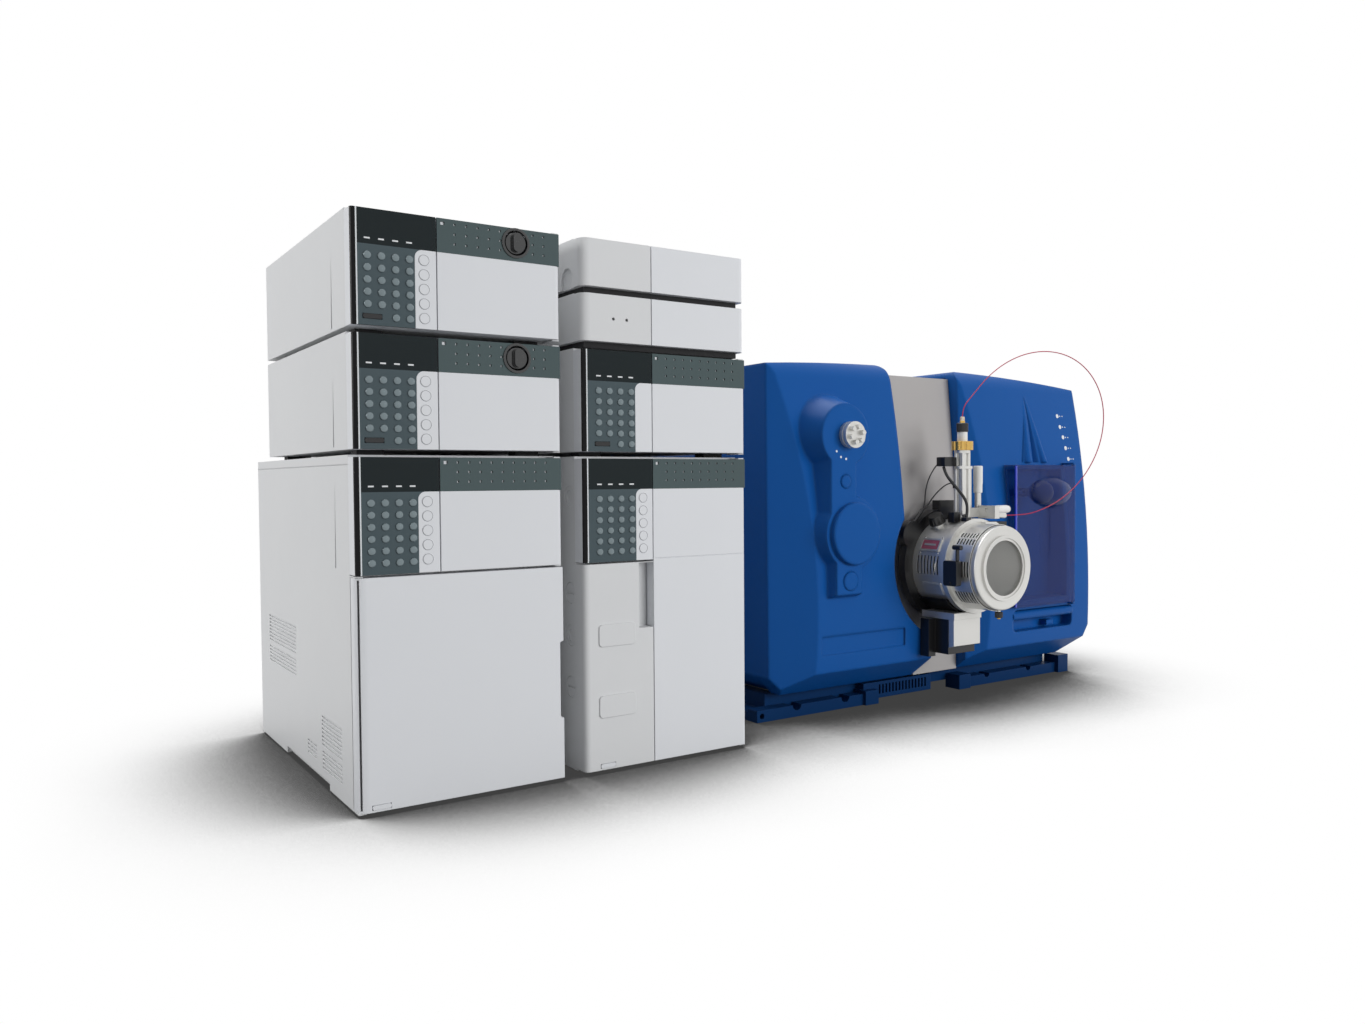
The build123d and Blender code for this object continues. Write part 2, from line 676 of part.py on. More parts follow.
def covers():
    """Left and right cover: a moulded front with a shell behind it."""
    outline = front_outline() - centre_window()
    high = [v for v in outline.vertices() if v.Y > ms_shoulder_z]
    beside_seam = [v for v in high if min(abs(v.X - left_seam), abs(v.X - right_seam)) < 1]
    outline = fillet(beside_seam, seam_round)
    block = slab_x(cover_profile(), 0, ms_w) & slab_y(outline, 0, ms_back + 10)
    block -= bevel_tool(0, 1, bevel_top, bevel_low)
    block -= slab_y(front_outline(cover_wall), 132, ms_back + 10)
    halves = block.solids().sort_by(Axis.X)
    return halves[0], halves[-1]


def left_cover(half):
    boss = extrude(
        Plane(origin=(0, boss_face, 0), x_dir=(1, 0, 0), z_dir=(0, 1, 0)) * mirror(keyhole(), Plane.XZ),
        amount=boss_root - boss_face,
        taper=-boss_taper,
    )
    body = half + boss
    disc = rod_y(port_disc_r, port_x, port_z, boss_face - port_disc_rise, boss_face + 1)
    disc_front = disc.edges().filter_by(GeomType.CIRCLE).sort_by(Axis.Y)[0]
    body += fillet(disc_front, 3.0)
    for x, z, r in button_places():
        body -= rod_y(r + seat, x, z, 0, boss_face + 14)
    body -= rod_y(valve_r - 5 + running, valve_x + 6, valve_z, 0, boss_face + 30)
    plate = Pos(168, 117) * RectangleRounded(186, 30, 3)
    return body - slab_y(plate, 0, ms_front + 1.6)


def button_places():
    return (
        (valve_x - 1, upper_button_z, upper_button_r),
        (port_x - 8, lower_button_z, lower_button_r),
    )


def injection_valve():
    """Six-port valve: a drum with a stator plate and its ring of nuts."""
    x = valve_x + 6
    valve = rod_y(valve_r - 5, x, valve_z, boss_face - 1, boss_face + 29)
    valve += rod_y(valve_r, x, valve_z, boss_face - 16, boss_face - seat)
    valve -= rod_y(valve_r + 1, x, valve_z, boss_face - 9, boss_face - 7) - rod_y(
        valve_r - 1.6, x, valve_z, boss_face - 9, boss_face - 7
    )
    for i in range(6):
        a = radians(60 * i + 15)
        where = (x + nut_circle_r * cos(a), boss_face - 16, valve_z + nut_circle_r * sin(a))
        nut = Plane(origin=where, x_dir=(1, 0, 0), z_dir=(0, -1, 0))
        valve += extrude(nut * RegularPolygon(nut_across, 6), amount=7)
    return valve


def valve_button(x, z, r):
    cap = rod_y(r, x, z, boss_face - 2, boss_face + 10)
    return chamfer(cap.edges().filter_by(GeomType.CIRCLE).sort_by(Axis.Y)[0], 1.0)


def sail_ridge(x, r):
    """Half-sunk flute that tapers to the sail's tip."""
    root = Pos(x, face_y(sail_low) + 2, sail_low) * Circle(r)
    tip = Pos(sail_tip_x + 0.1 * (x - sail_tip_x), face_y(sail_high) + 1, sail_high) * Circle(1.2)
    return loft([root, tip])


def sail_groove(x, w, depth):
    """Pointed channel between two flutes."""
    y0, y1 = face_y(sail_low), face_y(sail_high)
    sections = []
    for z, mid, half, y, deep in ((sail_low, x, w / 2, y0, depth), (sail_high, sail_tip_x + 1, 2, y1, 1)):
        left, right = (mid - half, y - 12), (mid + half, y - 12)
        sections.append(Pos(0, 0, z) * make_face(Polyline(left, right, (mid, y + deep), left)))
    return loft(sections)


def right_cover(half):
    body = half - bevel_tool(right_seam, 1, 12, 34)
    scoop = Cone(recess_r - 26, recess_r + 6, 60)
    body -= Pos(source_x, 86, source_z) * Rot(90, 0, 0) * scoop
    body -= sail_groove(sail_tip_x + 12, 34, 12)
    body -= sail_groove(sail_tip_x - 27, 14, 6)
    body += sail_ridge(sail_tip_x - 12, 9.5)
    body += sail_ridge(sail_tip_x + 35, 8.5)
    # syringe bay with a rail for the ball's carriage, and the trough below it
    body -= span((door_x0 + 10, door_x1 - 12), (0, bay_back), (door_z0 + 12, door_z1 - 8))
    rail_x0, rail_x1 = ball_x - 32, ball_x + 66
    body += rod_x(rail_r, rail_y, ball_z, rail_x0, rail_x1)
    for x in (rail_x0, rail_x1):
        body += span((x - 3, x + 3), (rail_y - 6, bay_back + 1), (ball_z - 6, ball_z + 6))
    trough_x, trough_w = (door_x0 + door_x1) / 2 + 8, door_x1 - door_x0 - 6
    body -= slab_y(Pos(trough_x, 119) * RectangleRounded(trough_w, 40, 9), 0, ms_front + 22)
    body += rod_x(8.5, ms_front + 5, 128, trough_x - trough_w / 2 - 1, trough_x + trough_w / 2 + 1)
    body += span((trough_x + 19, trough_x + 39), (ms_front + 6, ms_front + 23), (103, 113))
    pin_x, pin_y = door_x1 - door_pin_x, door_front + door_pin_y
    for z, up in ((door_z0, -1), (door_z1, 1)):
        z0, z1 = sorted((z + up * seat, z + up * (seat + 4)))
        body += span((pin_x - 3, pin_x + 3), (pin_y - 3, 90), (z0, z1))
        end = sorted((z0 if up > 0 else z1, z - up * wall))
        body += rod_z(pin_r, pin_x, pin_y, end[0], end[1])
    return body


def bubble(inset):
    """Long egg about the ball and its travel."""
    half_w, r = blister_w / 2 - inset, blister_r - inset
    half = Ellipse(half_w, r) & Pos(0, r) * Rectangle(3 * half_w, 2 * r)
    return Pos(blister_x, ball_y, ball_z) * revolve(half, Axis.X)


def syringe_door():
    """Translucent door with a blister that clears the ball behind it."""
    y0 = door_front
    door = span((door_x0, door_x1), (y0, y0 + 40), (door_z0, door_z1))
    door = round_front_edge(door, door_x0, y0, 4)
    door = round_front_edge(door, door_x1, y0, 4)
    door -= Pos(0, -door_clear, 0) * slab_x(cover_profile(), door_x0 - 1, door_x1 + 1)
    door -= span((door_x0 + wall, door_x1 - wall), (y0 + door_t, y0 + 41), (door_z0 + wall, door_z1 - wall))
    channel = Pos(ball_x + 3, (channel_z0 + channel_z1) / 2) * SlotOverall(
        channel_z1 - channel_z0, channel_w, rotation=90
    )
    door -= slab_y(channel, y0 - 1, y0 + 1)
    door -= slab_y(Pos(ball_x - 18, 392) * Ellipse(7, 10), y0 - 1, y0 + 1)
    ahead = span((door_x0, door_x1), (0, y0 + 0.5), (door_z0, door_z1))
    door += bubble(0) & ahead
    door -= bubble(door_t) & span((door_x0, door_x1), (0, y0 + door_t + 1), (door_z0, door_z1))
    pin_x, pin_y = door_x1 - door_pin_x, y0 + door_pin_y
    for z in (door_z0, door_z1):
        z0, z1 = max(door_z0, z - wall), min(door_z1, z + wall)
        door += rod_z(pin_r + 1.5, pin_x, pin_y, z0, z1)
        door -= rod_z(pin_r + running, pin_x, pin_y, z0 - 1, z1 + 1)
    return door


def syringe_knob():
    """Ball on a carriage that slides along the rail in the bay."""
    half = carriage_w / 2
    knob = Pos(ball_x, ball_y, ball_z) * Sphere(ball_r)
    knob += rod_y(stem_r, ball_x, ball_z, ball_y, rail_y)
    knob += span((ball_x - half, ball_x + half), (rail_y - 7, rail_y + 8), (ball_z - 8, ball_z + 8))
    return knob - rod_x(rail_r + running, rail_y, ball_z, ball_x - half - 1, ball_x + half + 1)


def chassis():
    """Grey vacuum chassis: the panel between the covers and the core inside them."""
    panel = make_face(
        Polyline(
            (panel_front, ms_low),
            (panel_front, 340),
            (panel_top_front, panel_top_z),
            (ms_back - 2, panel_top_z),
            (ms_back - 2, ms_low),
            (panel_front, ms_low),
        )
    )
    middle = slab_x(panel, left_seam - 70, right_seam + 26)
    window = slab_y(offset(centre_window(), -seat), 0, 140)
    front = (middle & span((0, ms_w), (0, 132), (0, 600))) & window
    rear = middle & slab_y(offset(centre_window(), -seat), 131, ms_back)
    core = span((36, ms_w - 50), (140, ms_back - 2), (ms_low, 534))
    core -= rod_y(64, 590, 300, ms_back - 5, ms_back)
    for i in range(10):
        core -= span((60, 220), (ms_back - 6, ms_back), (120 + 26 * i, 132 + 26 * i))
    return front + rear + core


def base_frame():
    """Folded plinth: front and rear rails, louvred apron and foot brackets."""
    rail_y0, rail_y1, rail_back = 106, 131, ms_back - 6
    rail_left, rail_right = -22, ms_w - 26
    plinth = span((12, ms_w - 50), (rail_y1 - 1, rail_back), (14, ms_low))
    left_rail = span((rail_left, 212), (rail_y0, rail_y1), (0, rail_h))
    for x in (60, 165):
        left_rail -= rod_y(9, x, rail_h, 100, 140)
    left_rail -= rod_y(4.5, rail_left + 10, rail_h / 2, 100, 140)
    apron = span((212, 376), (rail_y0 + 6, rail_y1), (6, 34))
    for i in range(apron_slots):
        x = apron_first_x + i * apron_pitch
        apron -= span((x, x + apron_pitch / 2), (108, 118), (13, 29))
    right_rail = span((446, rail_right), (rail_y0, rail_y1), (0, rail_h))
    for x in (520, 640):
        right_rail -= rod_y(7, x, rail_h, 100, 140)
    rear = span((rail_left, rail_right), (rail_back, ms_back), (0, 30))
    brackets = [
        span((206, 236), (100, rail_y1), (0, 24)),
        span((436, 466), (98, rail_y1), (0, 26)),
        span((rail_right - 18, rail_right + 12), (98, rail_y1), (0, 34)),
        span((rail_left, 20), (rail_y1, rail_back), (0, 14)),
        span((rail_right - 34, rail_right), (rail_y1, rail_back), (0, 14)),
    ]
    frame = plinth + left_rail + apron + right_rail + rear
    for bracket in brackets:
        frame += bracket
    return frame


def source_flange():
    """Black mounting flange with its hinge ear, the shroud under the drum and the exhaust body."""
    back = flange_front + flange_t
    flange = rod_y(flange_r, source_x, source_z, flange_front, back)
    flange += rod_y(ear_r, ear_x, ear_z, flange_front, back)
    flange += rod_y(70, source_x, source_z, back, panel_front)
    gland_y = flange_front + flange_t / 2
    gland = Plane(origin=(ear_x, gland_y, ear_z + 13), x_dir=(0, 1, 0), z_dir=(1, 0, 1))
    flange += extrude(gland * Circle(gland_r), amount=42)
    shroud = rod_y(drum_rear_r + 5, source_x, source_z, rim_front + rim_t + 4, flange_front + 1)
    shroud -= rod_y(drum_rear_r + seat, source_x, source_z, 0, flange_front + 2)
    shroud &= slab_y(Pos(source_x - 44, source_z - 78) * Rectangle(72, 48), 0, back)
    flange += shroud
    flange += span((source_x - 12, source_x + 24), (flange_front - 2, back), (312, 345))
    exhaust_high = exhaust_top - 11.7
    flange += span((exhaust_x0, exhaust_x1 - 2), (13, ms_front - 3), (88, exhaust_high))
    flange += span((exhaust_x0 - 15, exhaust_x0 + 1), (42, ms_front - 3), (82, exhaust_high))
    flange += span((source_x - 30, exhaust_x1 - 2), (ms_front - 6, flange_front + 8), (120, exhaust_high))
    return flange - rod_y(drum_rear_r + seat, source_x, source_z, 0, flange_front)


def on_drum(angle, r, y):
    """Plane that faces outwards from the source's axis, counted from +X towards +Z."""
    a = radians(angle)
    where = (source_x + r * cos(a), y, source_z + r * sin(a))
    return Plane(origin=where, x_dir=(0, 1, 0), z_dir=(cos(a), 0, sin(a)))


def drum_slots(r, angle, y_first, count, pitch, length):
    """Row of cutters for vents at one angle round a drum."""
    base = r - slot_depth
    return [
        extrude(on_drum(angle, base, y_first + i * pitch) * Rectangle(slot_w, length), amount=slot_depth + 4)
        for i in range(count)
    ]


def source_plug():
    """Fluted connector cap that stands on the rear drum."""
    cap = extrude(on_drum(plug_angle, 70, plug_y) * Circle(plug_r - 3), amount=14)
    cap += extrude(on_drum(plug_angle, 82, plug_y) * Circle(plug_r), amount=15, taper=8)
    flutes = []
    for i in range(plug_flutes):
        a = radians(360 / plug_flutes * i)
        at = Pos((plug_r + 0.6) * cos(a), (plug_r + 0.6) * sin(a))
        flutes.append(extrude(on_drum(plug_angle, 84, plug_y) * at * Circle(2.6), amount=16))
    return cap - flutes


def source_housing():
    """Two stepped drums with a rim between them, vented in groups, and the probe's seat on top."""
    body = rod_y(drum_rear_r, source_x, source_z, rim_front + rim_t, flange_front)
    body += rod_y(rim_r, source_x, source_z, rim_front, rim_front + rim_t)
    body += rod_y(drum_front_r, source_x, source_z, drum_end, rim_front)
    body -= rod_y(drum_front_r - chamber_wall, source_x, source_z, drum_end - 1, 50)
    vents = drum_slots(drum_rear_r, 177.5, 17, 7, 7.2, 31)
    vents += drum_slots(drum_front_r, 142, -42, 6, 6.2, 11)
    vents += drum_slots(drum_front_r, 131, -42, 6, 6.2, 10)
    vents += drum_slots(drum_front_r, 180, -42, 4, 6.0, 25)
    vents += drum_slots(drum_front_r, 222, -42, 7, 5.6, 26)
    body -= vents
    # blank plates: a framed one above the vents and a flat one below them
    frame = RectangleRounded(framed_w, framed_h, 2)
    sunk = RectangleRounded(framed_w - 6, framed_h - 6, 1)
    body += extrude(on_drum(framed_angle, drum_rear_r - 3, framed_y) * frame, amount=5.5)
    body -= extrude(on_drum(framed_angle, drum_rear_r + 1.7, framed_y) * sunk, amount=2)
    flat = RectangleRounded(flat_w, flat_h, 2)
    body += extrude(on_drum(flat_angle, drum_rear_r - 3, flat_y) * flat, amount=4)
    body += source_plug()
    top = source_z + drum_front_r
    body += span((probe_x - 17, probe_x + 17), (probe_y - 18, probe_y + 18), (top - 12, probe_low))
    arm = span((probe_x + 6, probe_x + 60), (-12, 14), (top - 22, top + 2))
    body += arm - rod_y(drum_front_r - 4, source_x, source_z, -20, 20)
    # thumbscrew below the front drum
    screw_x, screw_y, low = source_x + 10, drum_end + 7, source_z - drum_front_r - 12
    body += rod_z(3, screw_x, screw_y, low + 4, low + 19)
    return body + rod_z(thumb_r, screw_x, screw_y, low, low + 9)


def source_ring():
    """Screwed ring that holds the window: a broad band with a narrow lip in front."""
    ring = rod_y(ring_r, source_x, source_z, ring_step, drum_end)
    ring = fillet(ring.edges().filter_by(GeomType.CIRCLE).sort_by(Axis.Y)[0], 4.0)
    ring += rod_y(ring_lip_r, source_x, source_z, ring_front, ring_step)
    ring -= rod_y(glass_r + 0.5, source_x, source_z, ring_front - 1, ring_front + 2)
    ring -= rod_y(ring_bore, source_x, source_z, ring_front - 1, drum_end + 1)
    return ring - rod_y(glass_r + seat, source_x, source_z, ring_front + 5, drum_end + 1)


def source_latch():
    """Toggle latch on the front drum's left side."""
    x, y = latch_x, latch_y
    latch = span((x - 6, x + 6), (y - 14, y + 14), (latch_z - 4, latch_z + 37))
    latch = fillet(latch.edges().filter_by(Axis.X), 4)
    latch += rod_z(3, x, y - 11, latch_z + 37, latch_z + 58) + rod_y(4, x, latch_z + 59, y - 19, y - 3)
    return latch - rod_x(latch_r + running, y, latch_z, x - 7, x + 7)


def latch_pin():
    return rod_x(latch_r, latch_y, latch_z, latch_x - 7, source_x - drum_front_r + 9)


def probe():
    """Probe tube between four rods, with its neck, cap and fitting, and the micrometers' bracket."""
    tube = rod_z(probe_r, probe_x, probe_y, probe_low, probe_high)
    for side_x in (-rod_offset, rod_offset):
        for side_y in (-rod_offset, rod_offset):
            tube += rod_z(rod_r, probe_x + side_x, probe_y + side_y, probe_low, probe_high)
    for z in (probe_low, probe_high - 32, probe_high - 5):
        tube += rod_z(rod_offset * sqrt(2) + rod_r, probe_x, probe_y, z, z + 5)
    tube += rod_z(4.2, probe_x + 17, probe_y, probe_low, probe_high - 28)
    tube += span((probe_x, probe_x + 20), (probe_y - 5, probe_y + 5), (probe_high - 32, probe_high - 27))
    neck_z = probe_high + nut_h + neck_h
    tube += rod_z(neck_r, probe_x, probe_y, probe_high, neck_z)
    tube += rod_z(cap_r, probe_x, probe_y, neck_z, neck_z + cap_h)
    tube += rod_z(fitting_r, probe_x, probe_y, neck_z + cap_h, neck_z + cap_h + fitting_h)
    tube += span((probe_x + 8, probe_x + 48), (probe_y - 8, probe_y + 8), (probe_low + 2, probe_low + 18))
    x0, x1 = probe_x + bracket_x, probe_x + bracket_x + bracket_w
    tube += span((x0, x1), (port_y - 6, probe_y - 7), (probe_low, probe_low + 22))
    tube += rod_x(5, port_y, probe_low + 5, x0, x1 + 20)
    tube -= rod_z(screw_r + running, probe_x + 40, probe_y, probe_low, probe_low + 20)
    tube -= rod_x(screw_r + running, side_screw_y, probe_low + 15, x0 - 1, x1 + 1)
    # connector block behind the tube, for the cables
    return tube + span((probe_x - 38, probe_x + 4), (probe_y + 5, probe_y + 23), (404, 419))


def probe_nut():
    nut = rod_z(nut_r, probe_x, probe_y, probe_high, probe_high + nut_h)
    for i in range(12):
        a = radians(30 * i)
        nut -= rod_z(2.0, probe_x + (nut_r + 0.7) * cos(a), probe_y + (nut_r + 0.7) * sin(a), 0, 900)
    return nut - rod_z(neck_r, probe_x, probe_y, 0, 900)


def upright_micrometer():
    """Thimble that sets the probe's height: screw, sleeve and thimble."""
    x, y, z = probe_x + 40, probe_y, probe_low + 18
    screw = rod_z(screw_r, x, y, probe_low + 4, z + 14)
    sleeve = rod_z(thimble_r - 1.6, x, y, z + seat, z + 30)
    return screw + sleeve + rod_z(thimble_r, x, y, z + 26, z + 26 + thimble_h)


def side_micrometer():
    z = probe_low + 15
    x = probe_x + bracket_x + bracket_w
    thimble = rod_x(side_thimble_r, side_screw_y, z, x + seat, x + side_thimble_h)
    return thimble + rod_x(screw_r, side_screw_y, z, x - 10, x + 2)


def exhaust_face():
    """Bright front of the exhaust: a top slab and the tapered block below it."""
    low = exhaust_top - 11.3
    slab = span((exhaust_x0, exhaust_x1), (0, flange_front - seat), (low, exhaust_top))
    slab -= rod_y(drum_rear_r + 5.5, source_x, source_z, 8, 80)
    slab -= rod_y(rim_r + seat, source_x, source_z, -10, 80)
    block = span((exhaust_x0 + 0.6, exhaust_x1 - 1.6), (1.5, 12.6), (100, low + 1))
    tip = make_face(Polyline((1, 99), (1, 103), (13, 99), (1, 99)))
    return slab + block - slab_x(tip, exhaust_x0, exhaust_x1)


def arc_radii(points):
    """Largest round corner that leaves a short straight between neighbours."""
    radii = []
    for a, b, c in zip(points, points[1:], points[2:]):
        before, after = Vector(*b) - Vector(*a), Vector(*c) - Vector(*b)
        half_turn = radians(before.get_angle(after) / 2)
        radii.append(0.45 * min(before.length, after.length) * cos(half_turn) / sin(half_turn))
    return radii


def cord(name, points, diameter):
    radii = arc_radii(points)
    print(name, "tightest bend", round(min(radii), 1), "length", round(chain_length(points), 1))
    path = FilletPolyline(*points, radius=radii)
    start = Plane(origin=points[0], z_dir=Vector(*points[1]) - Vector(*points[0]))
    place(name, sweep(start * Circle(diameter / 2), path=path), ms_x)


def chain_length(points):
    return sum((Vector(*b) - Vector(*a)).length for a, b in zip(points, points[1:]))


# Routes, from the instrument's own left side
loop_route = [
    (368.0, 33.0, 488.3),
    (368.6, 32.7, 504.0),
    (381.9, 26.2, 522.0),
    (412.2, 8.7, 563.5),
    (450.5, -13.5, 591.5),
    (491.8, -37.4, 601.9),
    (530.6, -59.8, 593.6),
    (561.6, -77.7, 567.4),
    (581.0, -88.9, 527.0),
    (585.9, -91.7, 477.7),
    (575.8, -85.8, 426.0),
    (552.0, -72.1, 378.9),
    (517.7, -52.3, 342.6),
    (477.4, -29.0, 321.7),
    (450.0, -12.0, 318.9),
    (432.4, -4.0, 319.0),
]
long_lead_route = [
    (321.2, 79.5, 330.2),
    (325.4, 78.6, 339.0),
    (322.6, 75.5, 356.0),
    (324.5, 72.0, 378.0),
    (332.0, 66.0, 398.0),
    (343.0, 62.0, 411.0),
    (351.0, 57.6, 413.0),
]
short_lead_route = [
    (323.4, 79.5, 328.2),
    (331.0, 77.0, 337.5),
    (339.4, 70.0, 354.0),
    (351.0, 61.0, 369.0),
    (360.5, 53.0, 375.5),
    (364.6, 44.7, 375.8),
]
cable_route = [
    (334.0, 44.0, 402.4),
    (331.6, 38.0, 391.0),
    (331.8, 24.0, 376.0),
    (343.0, 14.0, 358.3),
    (352.5, 10.0, 343.3),
    (349.7, 6.0, 328.0),
    (344.2, 4.0, 314.4),
]


def build_left_stack():
    autosampler()
    pump("pump_b", tower_h)
    pump("pump_a", tower_h + head_h)


def build_second_stack():
    oven(second_x)
    detector(second_x, tower_h)
    slim_module(second_x, tower_h + head_h, arch=False)
    slim_module(second_x, tower_h + head_h + slim_h, arch=True)


def build_spectrometer():
    left, right = covers()
    place("ms_base", base_frame(), ms_x)
    place("ms_chassis", chassis(), ms_x)
    place("ms_left_cover", left_cover(left), ms_x)
    place("ms_right_cover", right_cover(right), ms_x)
    place("injection_valve", injection_valve(), ms_x)
    for name, (x, z, r) in zip(("valve_button_upper", "valve_button_lower"), button_places()):
        place(name, valve_button(x, z, r), ms_x)
    place("source_flange", source_flange(), ms_x)
    place("source_housing", source_housing() + latch_pin(), ms_x)
    place("source_ring", source_ring(), ms_x)
    place("source_window", rod_y(glass_r, source_x, source_z, ring_front + 5, ring_front + 5 + glass_t), ms_x)
    place("source_latch", source_latch(), ms_x)
    place("probe", probe(), ms_x)
    place("probe_nut", probe_nut(), ms_x)
    place("upright_micrometer", upright_micrometer(), ms_x)
    place("side_micrometer", side_micrometer(), ms_x)
    place("drain_block", exhaust_face(), ms_x)
    place("syringe_door", syringe_door(), ms_x)
    place("syringe_knob", syringe_knob(), ms_x)
    cord("red_tube", loop_route, tube_d)
    cord("long_lead", long_lead_route, lead_d)
    cord("short_lead", short_lead_route, lead_d)
    cord("source_cable", cable_route, cable_d)


build_left_stack()
build_second_stack()
build_spectrometer()

for name, solids in parts.items():
    whole = solids[0]
    if len(solids) > 1:
        whole = Compound(children=[s for part in solids for s in part.solids()])
    export_step(whole, f"parts/{name}.step")
print(len(parts), "nodes")
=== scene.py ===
import json
import math

import bmesh
import bpy
from mathutils import Matrix, Vector


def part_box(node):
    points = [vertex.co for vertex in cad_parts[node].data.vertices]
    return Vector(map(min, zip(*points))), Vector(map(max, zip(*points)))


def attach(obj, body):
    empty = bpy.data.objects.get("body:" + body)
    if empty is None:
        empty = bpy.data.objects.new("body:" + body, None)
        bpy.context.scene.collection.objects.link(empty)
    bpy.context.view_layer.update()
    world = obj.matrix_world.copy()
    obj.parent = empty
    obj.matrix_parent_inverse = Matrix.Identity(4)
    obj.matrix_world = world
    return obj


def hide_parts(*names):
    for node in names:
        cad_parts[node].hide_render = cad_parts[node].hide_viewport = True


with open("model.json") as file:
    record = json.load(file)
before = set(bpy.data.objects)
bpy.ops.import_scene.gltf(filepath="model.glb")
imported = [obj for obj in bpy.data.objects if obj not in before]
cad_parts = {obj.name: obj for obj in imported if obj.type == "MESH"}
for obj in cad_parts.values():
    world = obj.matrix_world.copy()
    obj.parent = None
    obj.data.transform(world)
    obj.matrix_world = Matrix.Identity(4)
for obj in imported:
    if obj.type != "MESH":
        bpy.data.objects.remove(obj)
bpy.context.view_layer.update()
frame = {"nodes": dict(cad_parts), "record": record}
nodes = frame["nodes"]
mm = 0.001

# two corners that everything else is measured from
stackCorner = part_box("sampler_door")[0] * 1.0
stackCorner.z = 0.0
spectroCorner = Vector((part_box("ms_left_cover")[0].x, stackCorner.y, 0.0))
secondCorner = Vector((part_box("oven_case")[0].x, stackCorner.y, 0.0))


def onStack(x, y, z):
    return stackCorner + Vector((x, y, z)) * mm


def onSecond(x, y, z):
    return secondCorner + Vector((x, y, z)) * mm


def onSpectro(x, y, z):
    return spectroCorner + Vector((x, y, z)) * mm


print("camera")
cameraLook = {
    "place": (-339.28, -1167.52, 383.26),
    "pitch": -0.0309,
    "roll": 0.0070,
    "yaw": -0.5906,
    "lens": 27.195,
}


def makeCamera(look):
    data = bpy.data.cameras.new("viewCamera")
    data.lens = look["lens"]
    data.sensor_width = 36.0
    data.clip_end = 50.0
    viewer = bpy.data.objects.new("viewCamera", data)
    turn = (
        Matrix.Rotation(look["yaw"], 4, "Z")
        @ Matrix.Rotation(look["pitch"], 4, "X")
        @ Matrix.Rotation(look["roll"], 4, "Y")
        @ Matrix.Rotation(math.pi / 2, 4, "X")
    )
    viewer.matrix_world = Matrix.Translation(onStack(*look["place"])) @ turn
    bpy.context.scene.collection.objects.link(viewer)
    bpy.context.scene.camera = viewer


makeCamera(cameraLook)

print("cords")
redLoop = {
    "name": "redLoop",
    "node": "red_tube",
    "slot": "red_polymer",
    "thick": 1.6,
    "stiffness": "stiff",
    "route": [
        (368.0, 33.0, 488.3),
        (368.6, 32.7, 504.0),
        (381.9, 26.2, 522.0),
        (412.2, 8.7, 563.5),
        (450.5, -13.5, 591.5),
        (491.8, -37.4, 601.9),
        (530.6, -59.8, 593.6),
        (561.6, -77.7, 567.4),
        (581.0, -88.9, 527.0),
        (585.9, -91.7, 477.7),
        (575.8, -85.8, 426.0),
        (552.0, -72.1, 378.9),
        (517.7, -52.3, 342.6),
        (477.4, -29.0, 321.7),
        (450.0, -12.0, 318.9),
        (432.4, -4.0, 319.0),
    ],
}
longLead = {
    "name": "longLead",
    "node": "long_lead",
    "slot": "black_cable",
    "thick": 2.2,
    "stiffness": "medium",
    "route": [
        (321.2, 79.5, 330.2),
        (325.4, 78.6, 339.0),
        (322.6, 75.5, 356.0),
        (324.5, 72.0, 378.0),
        (332.0, 66.0, 398.0),
        (343.0, 62.0, 411.0),
        (351.0, 57.6, 413.0),
    ],
}
shortLead = {
    "name": "shortLead",
    "node": "short_lead",
    "slot": "black_cable",
    "thick": 2.2,
    "stiffness": "medium",
    "route": [
        (323.4, 79.5, 328.2),
        (331.0, 77.0, 337.5),
        (339.4, 70.0, 354.0),
        (351.0, 61.0, 369.0),
        (360.5, 53.0, 375.5),
        (364.6, 44.7, 375.8),
    ],
}
sourceCable = {
    "name": "sourceCable",
    "node": "source_cable",
    "slot": "black_cable",
    "thick": 5.0,
    "stiffness": "medium",
    "route": [
        (334.0, 44.0, 402.4),
        (331.6, 38.0, 391.0),
        (331.8, 24.0, 376.0),
        (343.0, 14.0, 358.3),
        (352.5, 10.0, 343.3),
        (349.7, 6.0, 328.0),
        (344.2, 4.0, 314.4),
    ],
}


def curveLength(curve):
    # reads the smooth line itself, before it has a thickness
    bare = bpy.data.meshes.new_from_object(curve)
    points = [v.co.copy() for v in bare.vertices]
    bpy.data.meshes.remove(bare)
    return sum((b - a).length for a, b in zip(points, points[1:]))


def makeCord(look):
    data = bpy.data.curves.new(look["name"], "CURVE")
    data.dimensions = "3D"
    data.resolution_u = 12
    line = data.splines.new("NURBS")
    line.points.add(len(look["route"]) - 1)
    for point, place in zip(line.points, look["route"]):
        point.co = (*onSpectro(*place), 1.0)
    line.order_u = 3
    line.use_endpoint_u = True
    cord = bpy.data.objects.new(look["name"], data)
    bpy.context.scene.collection.objects.link(cord)
    length = curveLength(cord)
    data.bevel_depth = look["thick"] * mm / 2
    data.bevel_resolution = 4
    data.use_fill_caps = True
    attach(cord, "frame")
    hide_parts(look["node"])
    return cord


cords = {look["node"]: makeCord(look) for look in (redLoop, longLead, shortLead, sourceCable)}

print("shader groups")


def newGroup(name, inputs, outputs):
    group = bpy.data.node_groups.new(name, "ShaderNodeTree")
    for label, kind, value in inputs:
        socket = group.interface.new_socket(label, in_out="INPUT", socket_type=kind)
        socket.default_value = value
    for label, kind in outputs:
        group.interface.new_socket(label, in_out="OUTPUT", socket_type=kind)
    start = group.nodes.new("NodeGroupInput")
    end = group.nodes.new("NodeGroupOutput")
    return group, start, end


def addNode(tree, kind, **values):
    node = tree.nodes.new(kind)
    for key, value in values.items():
        if key in node.inputs:
            node.inputs[key].default_value = value
        else:
            setattr(node, key, value)
    return node


